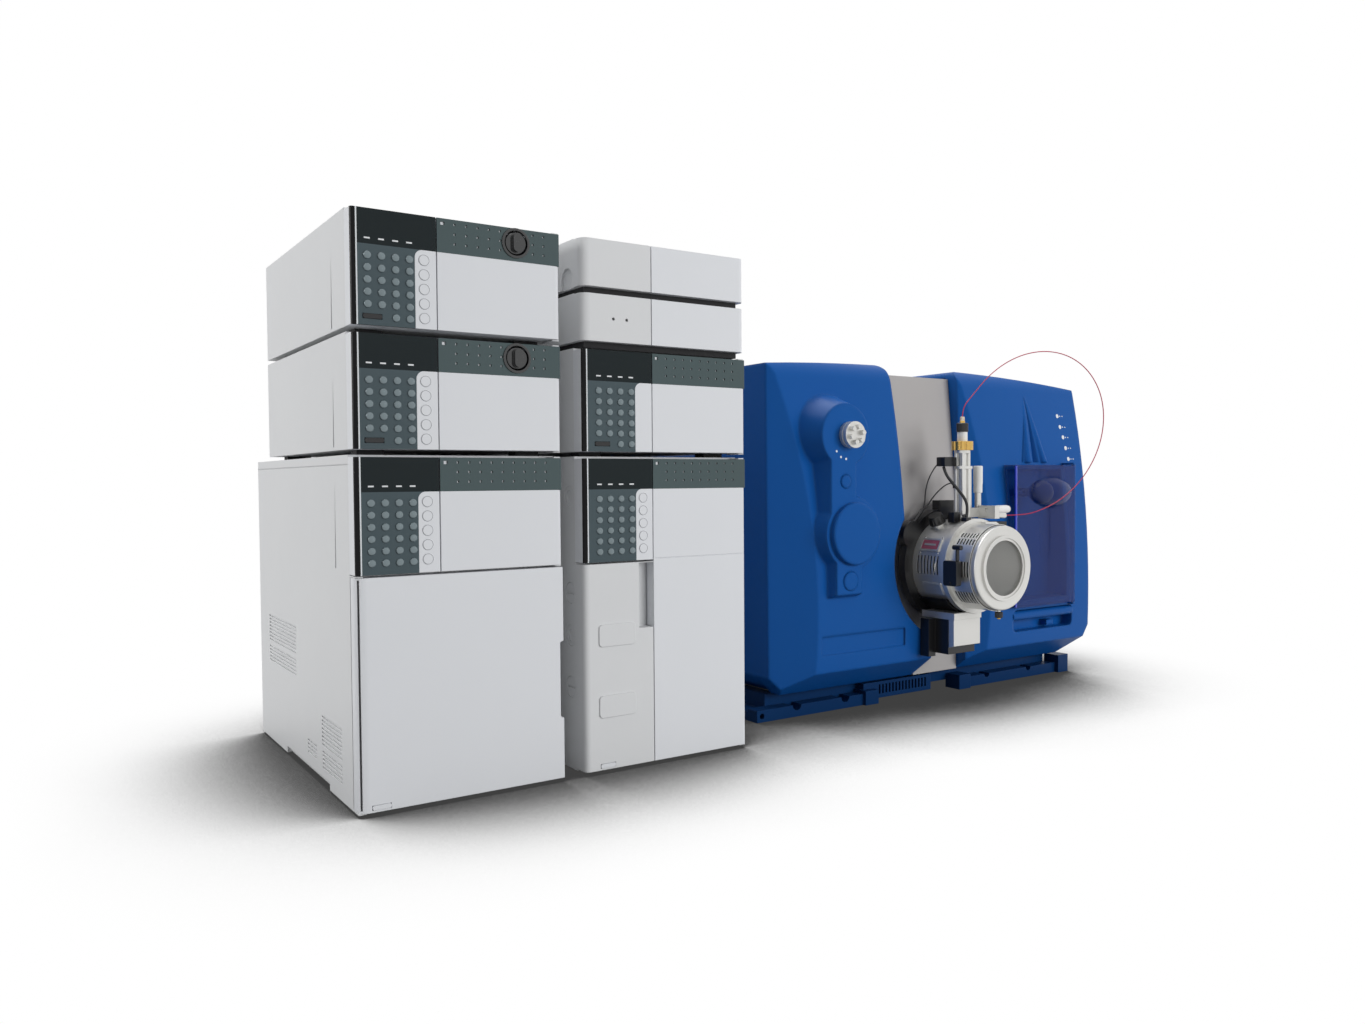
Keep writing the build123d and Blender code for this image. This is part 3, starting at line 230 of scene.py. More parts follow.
def addMath(tree, operation, first, second=None, third=None, clamp=False):
    # each term is a number or another node's output
    node = addNode(tree, "ShaderNodeMath", operation=operation, use_clamp=clamp)
    for socket, term in zip(node.inputs, (first, second, third)):
        if term is None:
            continue
        if isinstance(term, (int, float)):
            socket.default_value = term
        else:
            tree.links.new(term, socket)
    return node.outputs[0]


def addMix(tree, factor, first, second):
    mix = addNode(tree, "ShaderNodeMix", data_type="RGBA")
    for label, term in (("Factor", factor), ("A", first), ("B", second)):
        if isinstance(term, (int, float, tuple)):
            mix.inputs[label].default_value = term
        else:
            tree.links.new(term, mix.inputs[label])
    return mix.outputs["Result"]


def makeGrainGroup():
    # slow blotches in the colour, uneven gloss and a fine grain, all in real metres
    tree, start, end = newGroup(
        "surfaceGrain",
        [
            ("Color", "NodeSocketColor", (0.8, 0.8, 0.8, 1)),
            ("Shade", "NodeSocketColor", (0.7, 0.7, 0.7, 1)),
            ("Blotch Size", "NodeSocketFloat", 6.0),
            ("Blotch Amount", "NodeSocketFloat", 0.3),
            ("Roughness", "NodeSocketFloat", 0.5),
            ("Roughness Spread", "NodeSocketFloat", 0.08),
            ("Grain Size", "NodeSocketFloat", 900.0),
        ],
        [("Color", "NodeSocketColor"), ("Roughness", "NodeSocketFloat"), ("Height", "NodeSocketFloat")],
    )
    where = addNode(tree, "ShaderNodeTexCoord")
    blotch = addNode(tree, "ShaderNodeTexNoise", Detail=4.0, Roughness=0.6)
    gloss = addNode(tree, "ShaderNodeTexNoise", Scale=60.0, Detail=3.0)
    grain = addNode(tree, "ShaderNodeTexNoise", Detail=2.0, Roughness=0.5)
    for noise in (blotch, gloss, grain):
        tree.links.new(where.outputs["Object"], noise.inputs["Vector"])
    tree.links.new(start.outputs["Blotch Size"], blotch.inputs["Scale"])
    tree.links.new(start.outputs["Grain Size"], grain.inputs["Scale"])
    amount = addMath(tree, "MULTIPLY", blotch.outputs["Fac"], start.outputs["Blotch Amount"])
    tint = addMix(tree, amount, start.outputs["Color"], start.outputs["Shade"])
    tree.links.new(tint, end.inputs["Color"])
    centred = addMath(tree, "SUBTRACT", gloss.outputs["Fac"], 0.5)
    spread = addMath(
        tree, "MULTIPLY_ADD", centred, start.outputs["Roughness Spread"], start.outputs["Roughness"]
    )
    tree.links.new(spread, end.inputs["Roughness"])
    tree.links.new(grain.outputs["Fac"], end.inputs["Height"])
    return tree


def makeTurnedGroup():
    # fine rings about the ion source's axis, as a lathe leaves them
    tree, start, end = newGroup(
        "turnedRings",
        [
            ("Centre", "NodeSocketVector", (0, 0, 0)),
            ("Ring Size", "NodeSocketFloat", 1800.0),
            ("Spread", "NodeSocketFloat", 0.2),
            ("Roughness", "NodeSocketFloat", 0.3),
        ],
        [
            ("Roughness", "NodeSocketFloat"),
            ("Height", "NodeSocketFloat"),
            ("Shade", "NodeSocketFloat"),
            ("Radius", "NodeSocketFloat"),
            ("Along", "NodeSocketFloat"),
        ],
    )
    where = addNode(tree, "ShaderNodeTexCoord")
    shift = addNode(tree, "ShaderNodeVectorMath", operation="SUBTRACT")
    tree.links.new(where.outputs["Object"], shift.inputs[0])
    tree.links.new(start.outputs["Centre"], shift.inputs[1])
    flat = addNode(tree, "ShaderNodeVectorMath", operation="MULTIPLY")
    flat.inputs[1].default_value = (1, 0, 1)
    tree.links.new(shift.outputs[0], flat.inputs[0])
    radius = addNode(tree, "ShaderNodeVectorMath", operation="LENGTH")
    tree.links.new(flat.outputs[0], radius.inputs[0])
    split = addNode(tree, "ShaderNodeSeparateXYZ")
    tree.links.new(shift.outputs[0], split.inputs[0])
    rings = addNode(tree, "ShaderNodeTexNoise", noise_dimensions="1D", Detail=3.0)
    tree.links.new(addMath(tree, "ADD", radius.outputs["Value"], split.outputs["Y"]), rings.inputs["W"])
    tree.links.new(start.outputs["Ring Size"], rings.inputs["Scale"])
    clouds = addNode(tree, "ShaderNodeTexNoise", Scale=9.0, Detail=2.0)
    tree.links.new(where.outputs["Object"], clouds.inputs["Vector"])
    rough = addMath(
        tree, "MULTIPLY_ADD", rings.outputs["Fac"], start.outputs["Spread"], start.outputs["Roughness"]
    )
    tree.links.new(rough, end.inputs["Roughness"])
    tree.links.new(rings.outputs["Fac"], end.inputs["Height"])
    tree.links.new(clouds.outputs["Fac"], end.inputs["Shade"])
    tree.links.new(radius.outputs["Value"], end.inputs["Radius"])
    tree.links.new(split.outputs["Y"], end.inputs["Along"])
    return tree


def makePaintedHighlightGroup():
    # painted highlight: bright on outer edges, from how far a rounded normal leans off the true one
    tree, start, end = newGroup(
        "paintedEdgeHighlight",
        [("Rounded Normal", "NodeSocketVector", (0, 0, 1)), ("Gain", "NodeSocketFloat", 6.0)],
        [("Mask", "NodeSocketFloat")],
    )
    true = addNode(tree, "ShaderNodeNewGeometry")
    lean = addNode(tree, "ShaderNodeVectorMath", operation="DOT_PRODUCT")
    tree.links.new(start.outputs["Rounded Normal"], lean.inputs[0])
    tree.links.new(true.outputs["Normal"], lean.inputs[1])
    away = addMath(tree, "SUBTRACT", 1.0, lean.outputs["Value"])
    tree.links.new(addMath(tree, "MULTIPLY", away, start.outputs["Gain"], clamp=True), end.inputs["Mask"])
    return tree


def makeZoneGroup():
    # the console's zones repeat with the modules: display above the keypad, dark left edge, bright trim
    tree, start, end = newGroup(
        "consoleZones",
        [
            ("Origin", "NodeSocketVector", (0, 0, 0)),
            ("Column Pitch", "NodeSocketFloat", 0.291),
            ("Row Pitch", "NodeSocketFloat", 0.14),
            ("Display Line", "NodeSocketFloat", 0.097),
            ("Edge Line", "NodeSocketFloat", 0.0054),
            ("Trim Width", "NodeSocketFloat", 0.0017),
        ],
        [("Display", "NodeSocketFloat"), ("Edge", "NodeSocketFloat"), ("Trim", "NodeSocketFloat")],
    )
    where = addNode(tree, "ShaderNodeTexCoord")
    shift = addNode(tree, "ShaderNodeVectorMath", operation="SUBTRACT")
    tree.links.new(where.outputs["Object"], shift.inputs[0])
    tree.links.new(start.outputs["Origin"], shift.inputs[1])
    split = addNode(tree, "ShaderNodeSeparateXYZ")
    tree.links.new(shift.outputs[0], split.inputs[0])
    high = addMath(tree, "FLOORED_MODULO", split.outputs["Z"], start.outputs["Row Pitch"])
    across = addMath(tree, "FLOORED_MODULO", split.outputs["X"], start.outputs["Column Pitch"])
    tree.links.new(addMath(tree, "GREATER_THAN", high, start.outputs["Display Line"]), end.inputs["Display"])
    edge = addMath(tree, "LESS_THAN", across, start.outputs["Edge Line"])
    tree.links.new(edge, end.inputs["Edge"])
    past = addMath(tree, "SUBTRACT", across, start.outputs["Edge Line"])
    inside = addMath(tree, "LESS_THAN", past, start.outputs["Trim Width"])
    clear = addMath(tree, "SUBTRACT", 1.0, edge)
    tree.links.new(addMath(tree, "MULTIPLY", inside, clear), end.inputs["Trim"])
    return tree


grainGroup = makeGrainGroup()
turnedGroup = makeTurnedGroup()
paintedHighlightGroup = makePaintedHighlightGroup()
zoneGroup = makeZoneGroup()

print("materials")
sourceAxis = onSpectro(365, 0, 235)

# colours are linear, grain is a noise scale per metre, edge is a rounding in mm
finishLooks = {
    "white_enamel": {
        "color": (0.70, 0.71, 0.72), "shade": (0.64, 0.65, 0.665),
        "rough": 0.45, "grain": 700, "depth": 0.05, "edge": 1.4,
    },
    "white_moulding": {
        "color": (0.745, 0.76, 0.79), "shade": (0.70, 0.72, 0.75),
        "rough": 0.40, "grain": 1100, "depth": 0.03, "edge": 1.0,
    },
    "slate_strip": {
        "color": (0.082, 0.112, 0.116), "shade": (0.066, 0.092, 0.096),
        "rough": 0.42, "grain": 1300, "depth": 0.06, "edge": 0.5, "gloss": 0.15,
    },
    "black_plastic": {
        "color": (0.008, 0.008, 0.009), "shade": (0.014, 0.014, 0.016),
        "rough": 0.30, "grain": 1200, "depth": 0.05, "edge": 0.8,
    },
    "rubber": {
        "color": (0.010, 0.010, 0.011), "shade": (0.018, 0.018, 0.019),
        "rough": 0.65, "grain": 800, "depth": 0.1, "edge": 0.8,
    },
    "blue_paint": {
        "color": (0.006, 0.088, 0.335), "shade": (0.005, 0.072, 0.29),
        "rough": 0.34, "grain": 800, "depth": 0.05, "edge": 7.0, "gloss": 0.12,
    },
    "navy_paint": {
        "color": (0.004, 0.030, 0.105), "shade": (0.003, 0.022, 0.08),
        "rough": 0.42, "grain": 900, "depth": 0.06, "edge": 1.5, "gloss": 0.12,
    },
    "warm_grey_paint": {
        "color": (0.42, 0.405, 0.40), "shade": (0.38, 0.365, 0.36),
        "rough": 0.5, "grain": 800, "depth": 0.05, "edge": 1.5,
    },
    "dark_ball": {
        "color": (0.001, 0.003, 0.018), "shade": (0.002, 0.005, 0.026),
        "rough": 0.08, "grain": 400, "depth": 0.01, "edge": 0.5, "coat": 1.0,
    },
    "red_polymer": {
        "color": (0.46, 0.012, 0.06), "shade": (0.38, 0.01, 0.04),
        "rough": 0.3, "grain": 2000, "depth": 0.02, "edge": 0.2,
    },
    "black_cable": {
        "color": (0.008, 0.008, 0.009), "shade": (0.014, 0.014, 0.015),
        "rough": 0.4, "grain": 1800, "depth": 0.05, "edge": 0.3,
    },
    "brass": {
        "color": (0.70, 0.46, 0.14), "shade": (0.48, 0.30, 0.09),
        "rough": 0.26, "grain": 1400, "depth": 0.05, "edge": 0.5, "metal": 1.0,
    },
    "keyCap": {
        "color": (0.15, 0.20, 0.22), "shade": (0.12, 0.165, 0.18),
        "rough": 0.14, "grain": 1500, "depth": 0.01, "edge": 0.2, "coat": 1.0, "metal": 0.35,
    },
    "knobGloss": {
        "color": (0.006, 0.007, 0.008), "shade": (0.010, 0.011, 0.012),
        "rough": 0.12, "grain": 1500, "depth": 0.01, "edge": 0.4, "coat": 0.8,
    },
    "keyOutline": {
        "color": (0.34, 0.35, 0.37), "shade": (0.30, 0.31, 0.33),
        "rough": 0.4, "grain": 1500, "depth": 0.02, "edge": 0.1,
    },
    "paleMark": {
        "color": (0.78, 0.80, 0.82), "shade": (0.70, 0.72, 0.74),
        "rough": 0.5, "grain": 1500, "depth": 0.02, "edge": 0.1,
    },
    "probeWhite": {
        "color": (0.80, 0.80, 0.79), "shade": (0.72, 0.72, 0.71),
        "rough": 0.35, "grain": 1500, "depth": 0.03, "edge": 0.4,
    },
    "plateRed": {
        "color": (0.30, 0.07, 0.11), "shade": (0.38, 0.12, 0.17),
        "rough": 0.35, "grain": 1200, "depth": 0.02, "edge": 0.2,
    },
    "cobaltEdge": {
        "color": (0.004, 0.028, 0.52), "shade": (0.003, 0.020, 0.38),
        "rough": 0.12, "grain": 600, "depth": 0.01, "edge": 0.6, "coat": 0.7,
    },
    "brightScrew": {
        "color": (0.75, 0.75, 0.74), "shade": (0.6, 0.6, 0.59),
        "rough": 0.18, "grain": 1600, "depth": 0.03, "edge": 0.3, "metal": 1.0,
    },
}
edgeHighlightGain = 1.25   # how much paler the painted highlight on an outer edge is


def startMaterial(name, look):
    # the part that every finish shares: grain, gloss, rounded edges and the mask of a painted edge highlight;
    # returns its pieces
    material = bpy.data.materials.new(name)
    material.use_nodes = True
    tree = material.node_tree
    shader = tree.nodes["Principled BSDF"]
    grain = addNode(tree, "ShaderNodeGroup", node_tree=grainGroup)
    grain.inputs["Color"].default_value = (*look["color"], 1)
    grain.inputs["Shade"].default_value = (*look["shade"], 1)
    grain.inputs["Blotch Amount"].default_value = look.get("blotch", 0.6)
    grain.inputs["Roughness"].default_value = look["rough"]
    grain.inputs["Grain Size"].default_value = look["grain"]
    tree.links.new(grain.outputs["Roughness"], shader.inputs["Roughness"])
    rounded = addNode(tree, "ShaderNodeBevel", samples=4)
    rounded.inputs["Radius"].default_value = look["edge"] * mm
    edge = addNode(tree, "ShaderNodeGroup", node_tree=paintedHighlightGroup)
    edge.inputs["Gain"].default_value = 1.5
    tree.links.new(rounded.outputs["Normal"], edge.inputs["Rounded Normal"])
    bump = addNode(tree, "ShaderNodeBump", Strength=look["depth"] * 4, Distance=0.0002)
    tree.links.new(grain.outputs["Height"], bump.inputs["Height"])
    tree.links.new(rounded.outputs["Normal"], bump.inputs["Normal"])
    tree.links.new(bump.outputs["Normal"], shader.inputs["Normal"])
    shader.inputs["Metallic"].default_value = look.get("metal", 0.0)
    shader.inputs["Coat Weight"].default_value = look.get("coat", 0.0)
    shader.inputs["Specular IOR Level"].default_value = look.get("gloss", 0.5)
    return material, tree, shader, grain, edge


def makeFinish(name, look):
    material, tree, shader, grain, edge = startMaterial(name, look)
    # painted highlight: outer edges are mixed towards a paler colour, standing in for light on rounded edges
    highlightColor = (*[min(1.0, c * edgeHighlightGain + 0.008) for c in look["color"]], 1)
    highlighted = addMix(tree, edge.outputs["Mask"], grain.outputs["Color"], highlightColor)
    tree.links.new(highlighted, shader.inputs["Base Color"])
    return material


keypadLook = {
    "color": (0.072, 0.100, 0.112),
    "shade": (0.058, 0.082, 0.094),
    "display": (0.010, 0.016, 0.018, 1),
    "black": (0.003, 0.003, 0.004, 1),
    "trim": (0.75, 0.78, 0.80, 1),
    "rough": 0.16,
    "grain": 1500,
    "depth": 0.02,
    "edge": 0.5,
    "gloss": 0.15,
}


def makeKeypad(name, look):
    # one glossy film: slate keypad, near-black display, black left edge and a bright trim line
    material, tree, shader, grain, _ = startMaterial(name, look)
    zones = addNode(tree, "ShaderNodeGroup", node_tree=zoneGroup)
    zones.inputs["Origin"].default_value = onStack(0, 0, 275)
    color = addMix(tree, zones.outputs["Display"], grain.outputs["Color"], look["display"])
    color = addMix(tree, zones.outputs["Edge"], color, look["black"])
    color = addMix(tree, zones.outputs["Trim"], color, look["trim"])
    tree.links.new(color, shader.inputs["Base Color"])
    return material


machinedLook = {
    "metal": 0.72,
    "color": (0.74, 0.735, 0.71, 1),
    "shade": (0.60, 0.595, 0.575, 1),
    # slot: painted shade on the walls inside the vent slots
    "slot": (0.010, 0.010, 0.012, 1),
    "plug": (0.045, 0.045, 0.045, 1),
    "rough": 0.24,
    "spread": 0.16,
    "rings": 1600.0,
    "slotFrom": 0.0612,       # inner wall of the housing, from its axis
    "frontSkin": 0.0711,
    "rearSkin": 0.0761,
    "step": -0.002,
    "plugFrom": 0.0822,
}


def makeMachined(name, look, centre, paintSlotShade):
    # bright turned metal; on the vented housing the slots' walls are painted near black as shade, and the
    # plug is dark
    material = bpy.data.materials.new(name)
    material.use_nodes = True
    tree = material.node_tree
    shader = tree.nodes["Principled BSDF"]
    turned = addNode(tree, "ShaderNodeGroup", node_tree=turnedGroup)
    turned.inputs["Centre"].default_value = centre
    turned.inputs["Ring Size"].default_value = look["rings"]
    turned.inputs["Spread"].default_value = look["spread"]
    turned.inputs["Roughness"].default_value = look["rough"]
    shader.inputs["Metallic"].default_value = look["metal"]
    color = addMix(tree, turned.outputs["Shade"], look["color"], look["shade"])
    if paintSlotShade:
        radius, along = turned.outputs["Radius"], turned.outputs["Along"]
        # painted shade: the slots' walls, between the inner wall and the skin, are painted near black
        behind = addMath(tree, "GREATER_THAN", along, look["step"])
        skin = addMath(tree, "MULTIPLY_ADD", behind, look["rearSkin"] - look["frontSkin"], look["frontSkin"])
        below = addMath(tree, "LESS_THAN", radius, skin)
        slotShadeMask = addMath(tree, "MULTIPLY", below, addMath(tree, "GREATER_THAN", radius, look["slotFrom"]))
        color = addMix(tree, slotShadeMask, color, look["slot"])
        plug = addMath(tree, "GREATER_THAN", radius, look["plugFrom"])
        color = addMix(tree, plug, color, look["plug"])
    tree.links.new(color, shader.inputs["Base Color"])
    tree.links.new(turned.outputs["Roughness"], shader.inputs["Roughness"])
    rounded = addNode(tree, "ShaderNodeBevel", samples=4)
    rounded.inputs["Radius"].default_value = 0.8 * mm
    bump = addNode(tree, "ShaderNodeBump", Strength=0.05, Distance=0.0001)
    tree.links.new(turned.outputs["Height"], bump.inputs["Height"])
    tree.links.new(rounded.outputs["Normal"], bump.inputs["Normal"])
    tree.links.new(bump.outputs["Normal"], shader.inputs["Normal"])
    return material


tintedLooks = {
    "tinted_door": {"color": (0.002, 0.024, 0.19), "rough": 0.08, "alpha": 0.38, "gloss": 0.35, "coat": 0.15},
    "window_glass": {"color": (0.70, 0.71, 0.70), "rough": 0.04, "alpha": 0.12, "gloss": 0.5, "coat": 0.3},
}


def makeTinted(name, look):
    # clear plastic that lets light straight through, so that what is behind it stays lit
    material = bpy.data.materials.new(name)
    material.use_nodes = True
    tree = material.node_tree
    shader = tree.nodes["Principled BSDF"]
    grain = addNode(tree, "ShaderNodeGroup", node_tree=grainGroup)
    grain.inputs["Color"].default_value = (*look["color"], 1)
    grain.inputs["Shade"].default_value = (*[c * 0.8 for c in look["color"]], 1)
    grain.inputs["Roughness"].default_value = look["rough"]
    grain.inputs["Roughness Spread"].default_value = 0.05
    tree.links.new(grain.outputs["Color"], shader.inputs["Base Color"])
    tree.links.new(grain.outputs["Roughness"], shader.inputs["Roughness"])
    shader.inputs["Alpha"].default_value = look["alpha"]
    shader.inputs["Coat Weight"].default_value = look["coat"]
    shader.inputs["Specular IOR Level"].default_value = look["gloss"]
    return material


finishes = {name: makeFinish(name, look) for name, look in finishLooks.items()}
finishes["keypad_film"] = makeKeypad("keypad_film", keypadLook)
finishes["machined_steel"] = makeMachined("machined_steel", machinedLook, sourceAxis, False)
finishes["steel_with_painted_slot_shade"] = makeMachined("steel_with_painted_slot_shade", machinedLook, sourceAxis, True)
for tintedName, tintedLook in tintedLooks.items():
    finishes[tintedName] = makeTinted(tintedName, tintedLook)

specialFinish = {
    "source_housing": "steel_with_painted_slot_shade",
    "pump_a_drain_knob": "knobGloss",
    "pump_b_drain_knob": "knobGloss",
}
slotOf = {part["node"]: part["material_slot"] for part in frame["record"]["subparts"]}
for nodeName, item in nodes.items():
    item.data.materials.clear()
    item.data.materials.append(finishes[specialFinish.get(nodeName, slotOf[nodeName])])
for nodeName, cord in cords.items():
    cord.data.materials.append(finishes[slotOf[nodeName]])

print("pieces on the consoles")
bpy.context.view_layer.update()


def endPiece(name, bm, body, finish, sharp=40):
    # closes a mesh into a piece that rides on its body
    mesh = bpy.data.meshes.new(name)
    bmesh.ops.recalc_face_normals(bm, faces=bm.faces)
    bm.to_mesh(mesh)
    bm.free()
    mesh.polygons.foreach_set("use_smooth", [True] * len(mesh.polygons))
    mesh.set_sharp_from_angle(angle=math.radians(sharp))
    mesh.materials.append(finishes[finish])
    piece = bpy.data.objects.new(name, mesh)
    bpy.context.scene.collection.objects.link(piece)
    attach(piece, body)
    return piece


def addLathe(bm, profile, place, axis, segments=24, flutes=0, fluteDeep=0.0):
    # profile is (radius, height) in mm from place along axis; flutes pull in every other segment
    turn = Vector(axis).to_track_quat("Z", "Y").to_matrix()
    rings = []
    for radius, height in profile:
        ring = []
        for i in range(segments):
            angle = 2 * math.pi * i / segments
            r = radius - (fluteDeep if flutes and i % 2 else 0.0)
            at = turn @ Vector((r * math.cos(angle), r * math.sin(angle), height)) * mm
            ring.append(bm.verts.new(place + at))
        rings.append(ring)
    for low, high in zip(rings, rings[1:]):
        for i in range(segments):
            j = (i + 1) % segments
            bm.faces.new((low[i], low[j], high[j], high[i]))
    bm.faces.new(rings[0])
    bm.faces.new(rings[-1])


def addHoop(bm, place, axis, radius, thick, segments=28, sides=8):
    # round ring of wire about an axis, sizes in mm
    turn = Vector(axis).to_track_quat("Z", "Y").to_matrix()
    rings = []
    for i in range(segments):
        a = 2 * math.pi * i / segments
        ring = []
        for j in range(sides):
            b = 2 * math.pi * j / sides
            r = radius + thick * math.cos(b)
            at = turn @ Vector((r * math.cos(a), r * math.sin(a), thick * math.sin(b))) * mm
            ring.append(bm.verts.new(place + at))
        rings.append(ring)
    for i in range(segments):
        one, two = rings[i], rings[(i + 1) % segments]
        for j in range(sides):
            k = (j + 1) % sides
            bm.faces.new((one[j], two[j], two[k], one[k]))


def addBlock(bm, low, high, soft):
    # box between two corners with rounded edges, soft in mm
    size = high - low
    made = bmesh.ops.create_cube(bm, size=1.0)["verts"]
    for vert in made:
        share = vert.co + Vector((0.5, 0.5, 0.5))
        vert.co = low + Vector((share.x * size.x, share.y * size.y, share.z * size.z))
    edges = list({edge for vert in made for edge in vert.link_edges})
    bmesh.ops.bevel(bm, geom=edges, offset=soft * mm, segments=2, profile=0.6, affect="EDGES")


# each console: which corner, the block's base, extra width at its left, a bar in the keypad, ring keys
consoles = {
    "PumpA": {"corner": onStack, "base": 555, "lead": 0, "bar": True, "rings": True},
    "PumpB": {"corner": onStack, "base": 415, "lead": 0, "bar": True, "rings": True},
    "Sampler": {"corner": onStack, "base": 275, "lead": 0, "bar": False, "rings": True},
    "Detector": {"corner": onSecond, "base": 415, "lead": 5, "bar": True, "rings": False},
    "Oven": {"corner": onSecond, "base": 275, "lead": 5, "bar": False, "rings": True},
}
keyLook = {
    "columns": 4,
    "rows": 6,
    "first": (18.4, 84.4),
    "pitch": (16.2, 13.7),
    "dome": ((4.9, -0.3), (4.8, 0.6), (4.45, 1.4), (3.8, 2.1), (2.8, 2.6), (1.4, 2.9), (0.4, 2.95)),
    "ringX": 84.5,
    "ringPitch": 16.8,
    "ringRadius": 6.1,
    "ringWire": 0.28,
    "ringOut": -0.55,
    "ringRise": 1,
    "ringCount": 5,
    "barHigh": 103.5,
    "barSize": (3.4, 0.9),
}


def makeConsolePieces(name, look, keys):
    corner, base, lead = look["corner"], look["base"], look["lead"]
    domes, marks, hoops = bmesh.new(), bmesh.new(), bmesh.new()
    for row in range(keys["rows"]):
        for column in range(keys["columns"]):
            if look["bar"] and row == keys["rows"] - 1 and column < 2:
                continue
            x = lead + keys["first"][0] + column * keys["pitch"][0]
            z = base + keys["first"][1] - row * keys["pitch"][1]
            addLathe(domes, keys["dome"], corner(x, 0, z), (0, -1, 0), 16)
    endPiece("keyDomes" + name, domes, "frame", "keyCap", 60)
    halfX, halfZ = keys["barSize"]
    for column in range(keys["columns"]):
        x = lead + keys["first"][0] + column * keys["pitch"][0]
        low = corner(x - halfX, -0.25, base + keys["barHigh"] - halfZ)
        high = corner(x + halfX, 0.2, base + keys["barHigh"] + halfZ)
        addBlock(marks, low, high, 0.15)
    endPiece("displayMarks" + name, marks, "frame", "paleMark")
    if look["rings"]:
        for i in range(keys["ringCount"]):
            z = base + keys["first"][1] + keys["ringRise"] - i * keys["ringPitch"]
            centre = corner(lead + keys["ringX"], keys["ringOut"], z)
            addHoop(hoops, centre, (0, 1, 0), keys["ringRadius"], keys["ringWire"])
        endPiece("keyOutlines" + name, hoops, "frame", "keyOutline")
    else:
        hoops.free()


for consoleName, consoleLook in consoles.items():
    makeConsolePieces(consoleName, consoleLook, keyLook)

collarLook = {
    "x": 200.5,
    "z": 119.0,
    "profile": ((14.9, 0.4), (17.3, -0.2), (18.3, 0.5), (18.3, 1.4), (16.9, 2.0), (15.2, 1.7)),
    "segments": 48,
}


def makeKnobCollar(name, base, body):
    # glossy ring that frames the drain knob's opening in the vent strip
    bm = bmesh.new()
    centre = onStack(collarLook["x"], 0, base + collarLook["z"])
    segments = collarLook["segments"]
    turns = [2 * math.pi * i / segments for i in range(segments)]
    rings = []
    for radius, out in collarLook["profile"]:
        places = [Vector((radius * math.cos(a), -out, radius * math.sin(a))) for a in turns]
        rings.append([bm.verts.new(centre + place * mm) for place in places])
    for one, two in zip(rings, rings[1:] + rings[:1]):
        for i in range(segments):
            j = (i + 1) % segments
            bm.faces.new((one[i], one[j], two[j], two[i]))
    endPiece(name, bm, body, "knobGloss")


makeKnobCollar("knobCollarPumpA", 555, "pump_a_cover")
makeKnobCollar("knobCollarPumpB", 415, "pump_b_cover")

ledLook = {"places": ((46.5, 593), (66.5, 593)), "dome": ((1.7, -1.5), (1.7, -0.2), (1.3, 0.4), (0.5, 0.7))}
leds = bmesh.new()
for x, z in ledLook["places"]:
    addLathe(leds, ledLook["dome"], onSecond(x, 0, z), (0, -1, 0), 16)
endPiece("statusLeds", leds, "frame", "knobGloss", 60)

print("pieces on the spectrometer")


def onFace(node, x, z):
    # where a line along +Y meets a node's front, with the surface's direction there
    hit, place, normal, _ = nodes[node].ray_cast(onSpectro(x, -150, z), (0, 1, 0))
    if not hit:
        raise ValueError(f"nothing of {node} at {x}, {z}")
    return place, normal


dotLook = {
    "status": ((706, 502), (710, 481), (715, 461), (719, 440), (724, 419)),
    "dot": ((4.0, -0.3), (4.0, 0.15), (3.4, 0.35), (0.4, 0.4)),
    "dashGap": (8.0, 15.0),
    "dash": ((1.3, -0.3), (1.3, 0.15), (1.0, 0.3), (0.2, 0.32)),
    "valve": ((101, 418), (112, 415), (92, 427)),
    "small": ((1.9, -0.3), (1.9, 0.15), (1.4, 0.3), (0.3, 0.32)),
}


def makeDots(name, node, places, profile):
    bm = bmesh.new()
    for x, z in places:
        place, normal = onFace(node, x, z)
        addLathe(bm, profile, place, normal, 18)
    endPiece(name, bm, "frame", "paleMark")


makeDots("statusDots", "ms_right_cover", dotLook["status"], dotLook["dot"])
dashes = [(x + gap, z) for x, z in dotLook["status"] for gap in dotLook["dashGap"]]
makeDots("statusDashes", "ms_right_cover", dashes, dotLook["dash"])
makeDots("valveMarks", "ms_left_cover", dotLook["valve"], dotLook["small"])

probeLook = {
    "x": 368.0,
    "y": 33.0,
    "neck": ((8.3, 446.0), (8.6, 446.6), (8.6, 461.0), (8.2, 461.8)),
    "cap": ((9.0, 461.9), (9.9, 462.6), (9.9, 476.4), (9.2, 477.3), (4.2, 477.4)),
    "tip": ((4.4, 477.2), (4.4, 481.0), (3.9, 481.4), (3.9, 487.2), (2.4, 488.2), (1.2, 488.3)),
}


def makeProbePieces(look):
    foot = onSpectro(look["x"], look["y"], 0)
    neck, cap, tip = bmesh.new(), bmesh.new(), bmesh.new()
    addLathe(neck, look["neck"], foot, (0, 0, 1), 32)
    endPiece("probeNeck", neck, "frame", "probeWhite")
    addLathe(cap, look["cap"], foot, (0, 0, 1), 56, 28, 0.45)
    endPiece("probeCap", cap, "frame", "black_plastic", 25)
    addLathe(tip, look["tip"], foot, (0, 0, 1), 6)
    endPiece("probeTip", tip, "frame", "brass", 25)


makeProbePieces(probeLook)

thimbleLook = {
    "upright": {
        "place": (408, 33, 0),
        "axis": (0, 0, 1),
        "profile": (
            (6.4, 357.6), (7.5, 358.4), (7.5, 372.0), (8.0, 374.0), (8.0, 403.2), (7.0, 404.4), (2.0, 404.5)
        ),
    },
    "side": {
        "place": (0, 8, 329),
        "axis": (1, 0, 0),
        "profile": (
            (5.8, 412.4), (6.7, 413.0), (6.7, 424.0), (7.0, 426.0), (7.0, 452.0), (5.4, 455.6), (2.0, 456.8)
        ),
    },
}
for thimbleName, look in thimbleLook.items():
    sleeve = bmesh.new()
    addLathe(sleeve, look["profile"], onSpectro(*look["place"]), look["axis"], 48, 24, 0.16)
    endPiece(
        thimbleName + "Thimble", sleeve, thimbleName + "_micrometer", "probeWhite", 25
    )

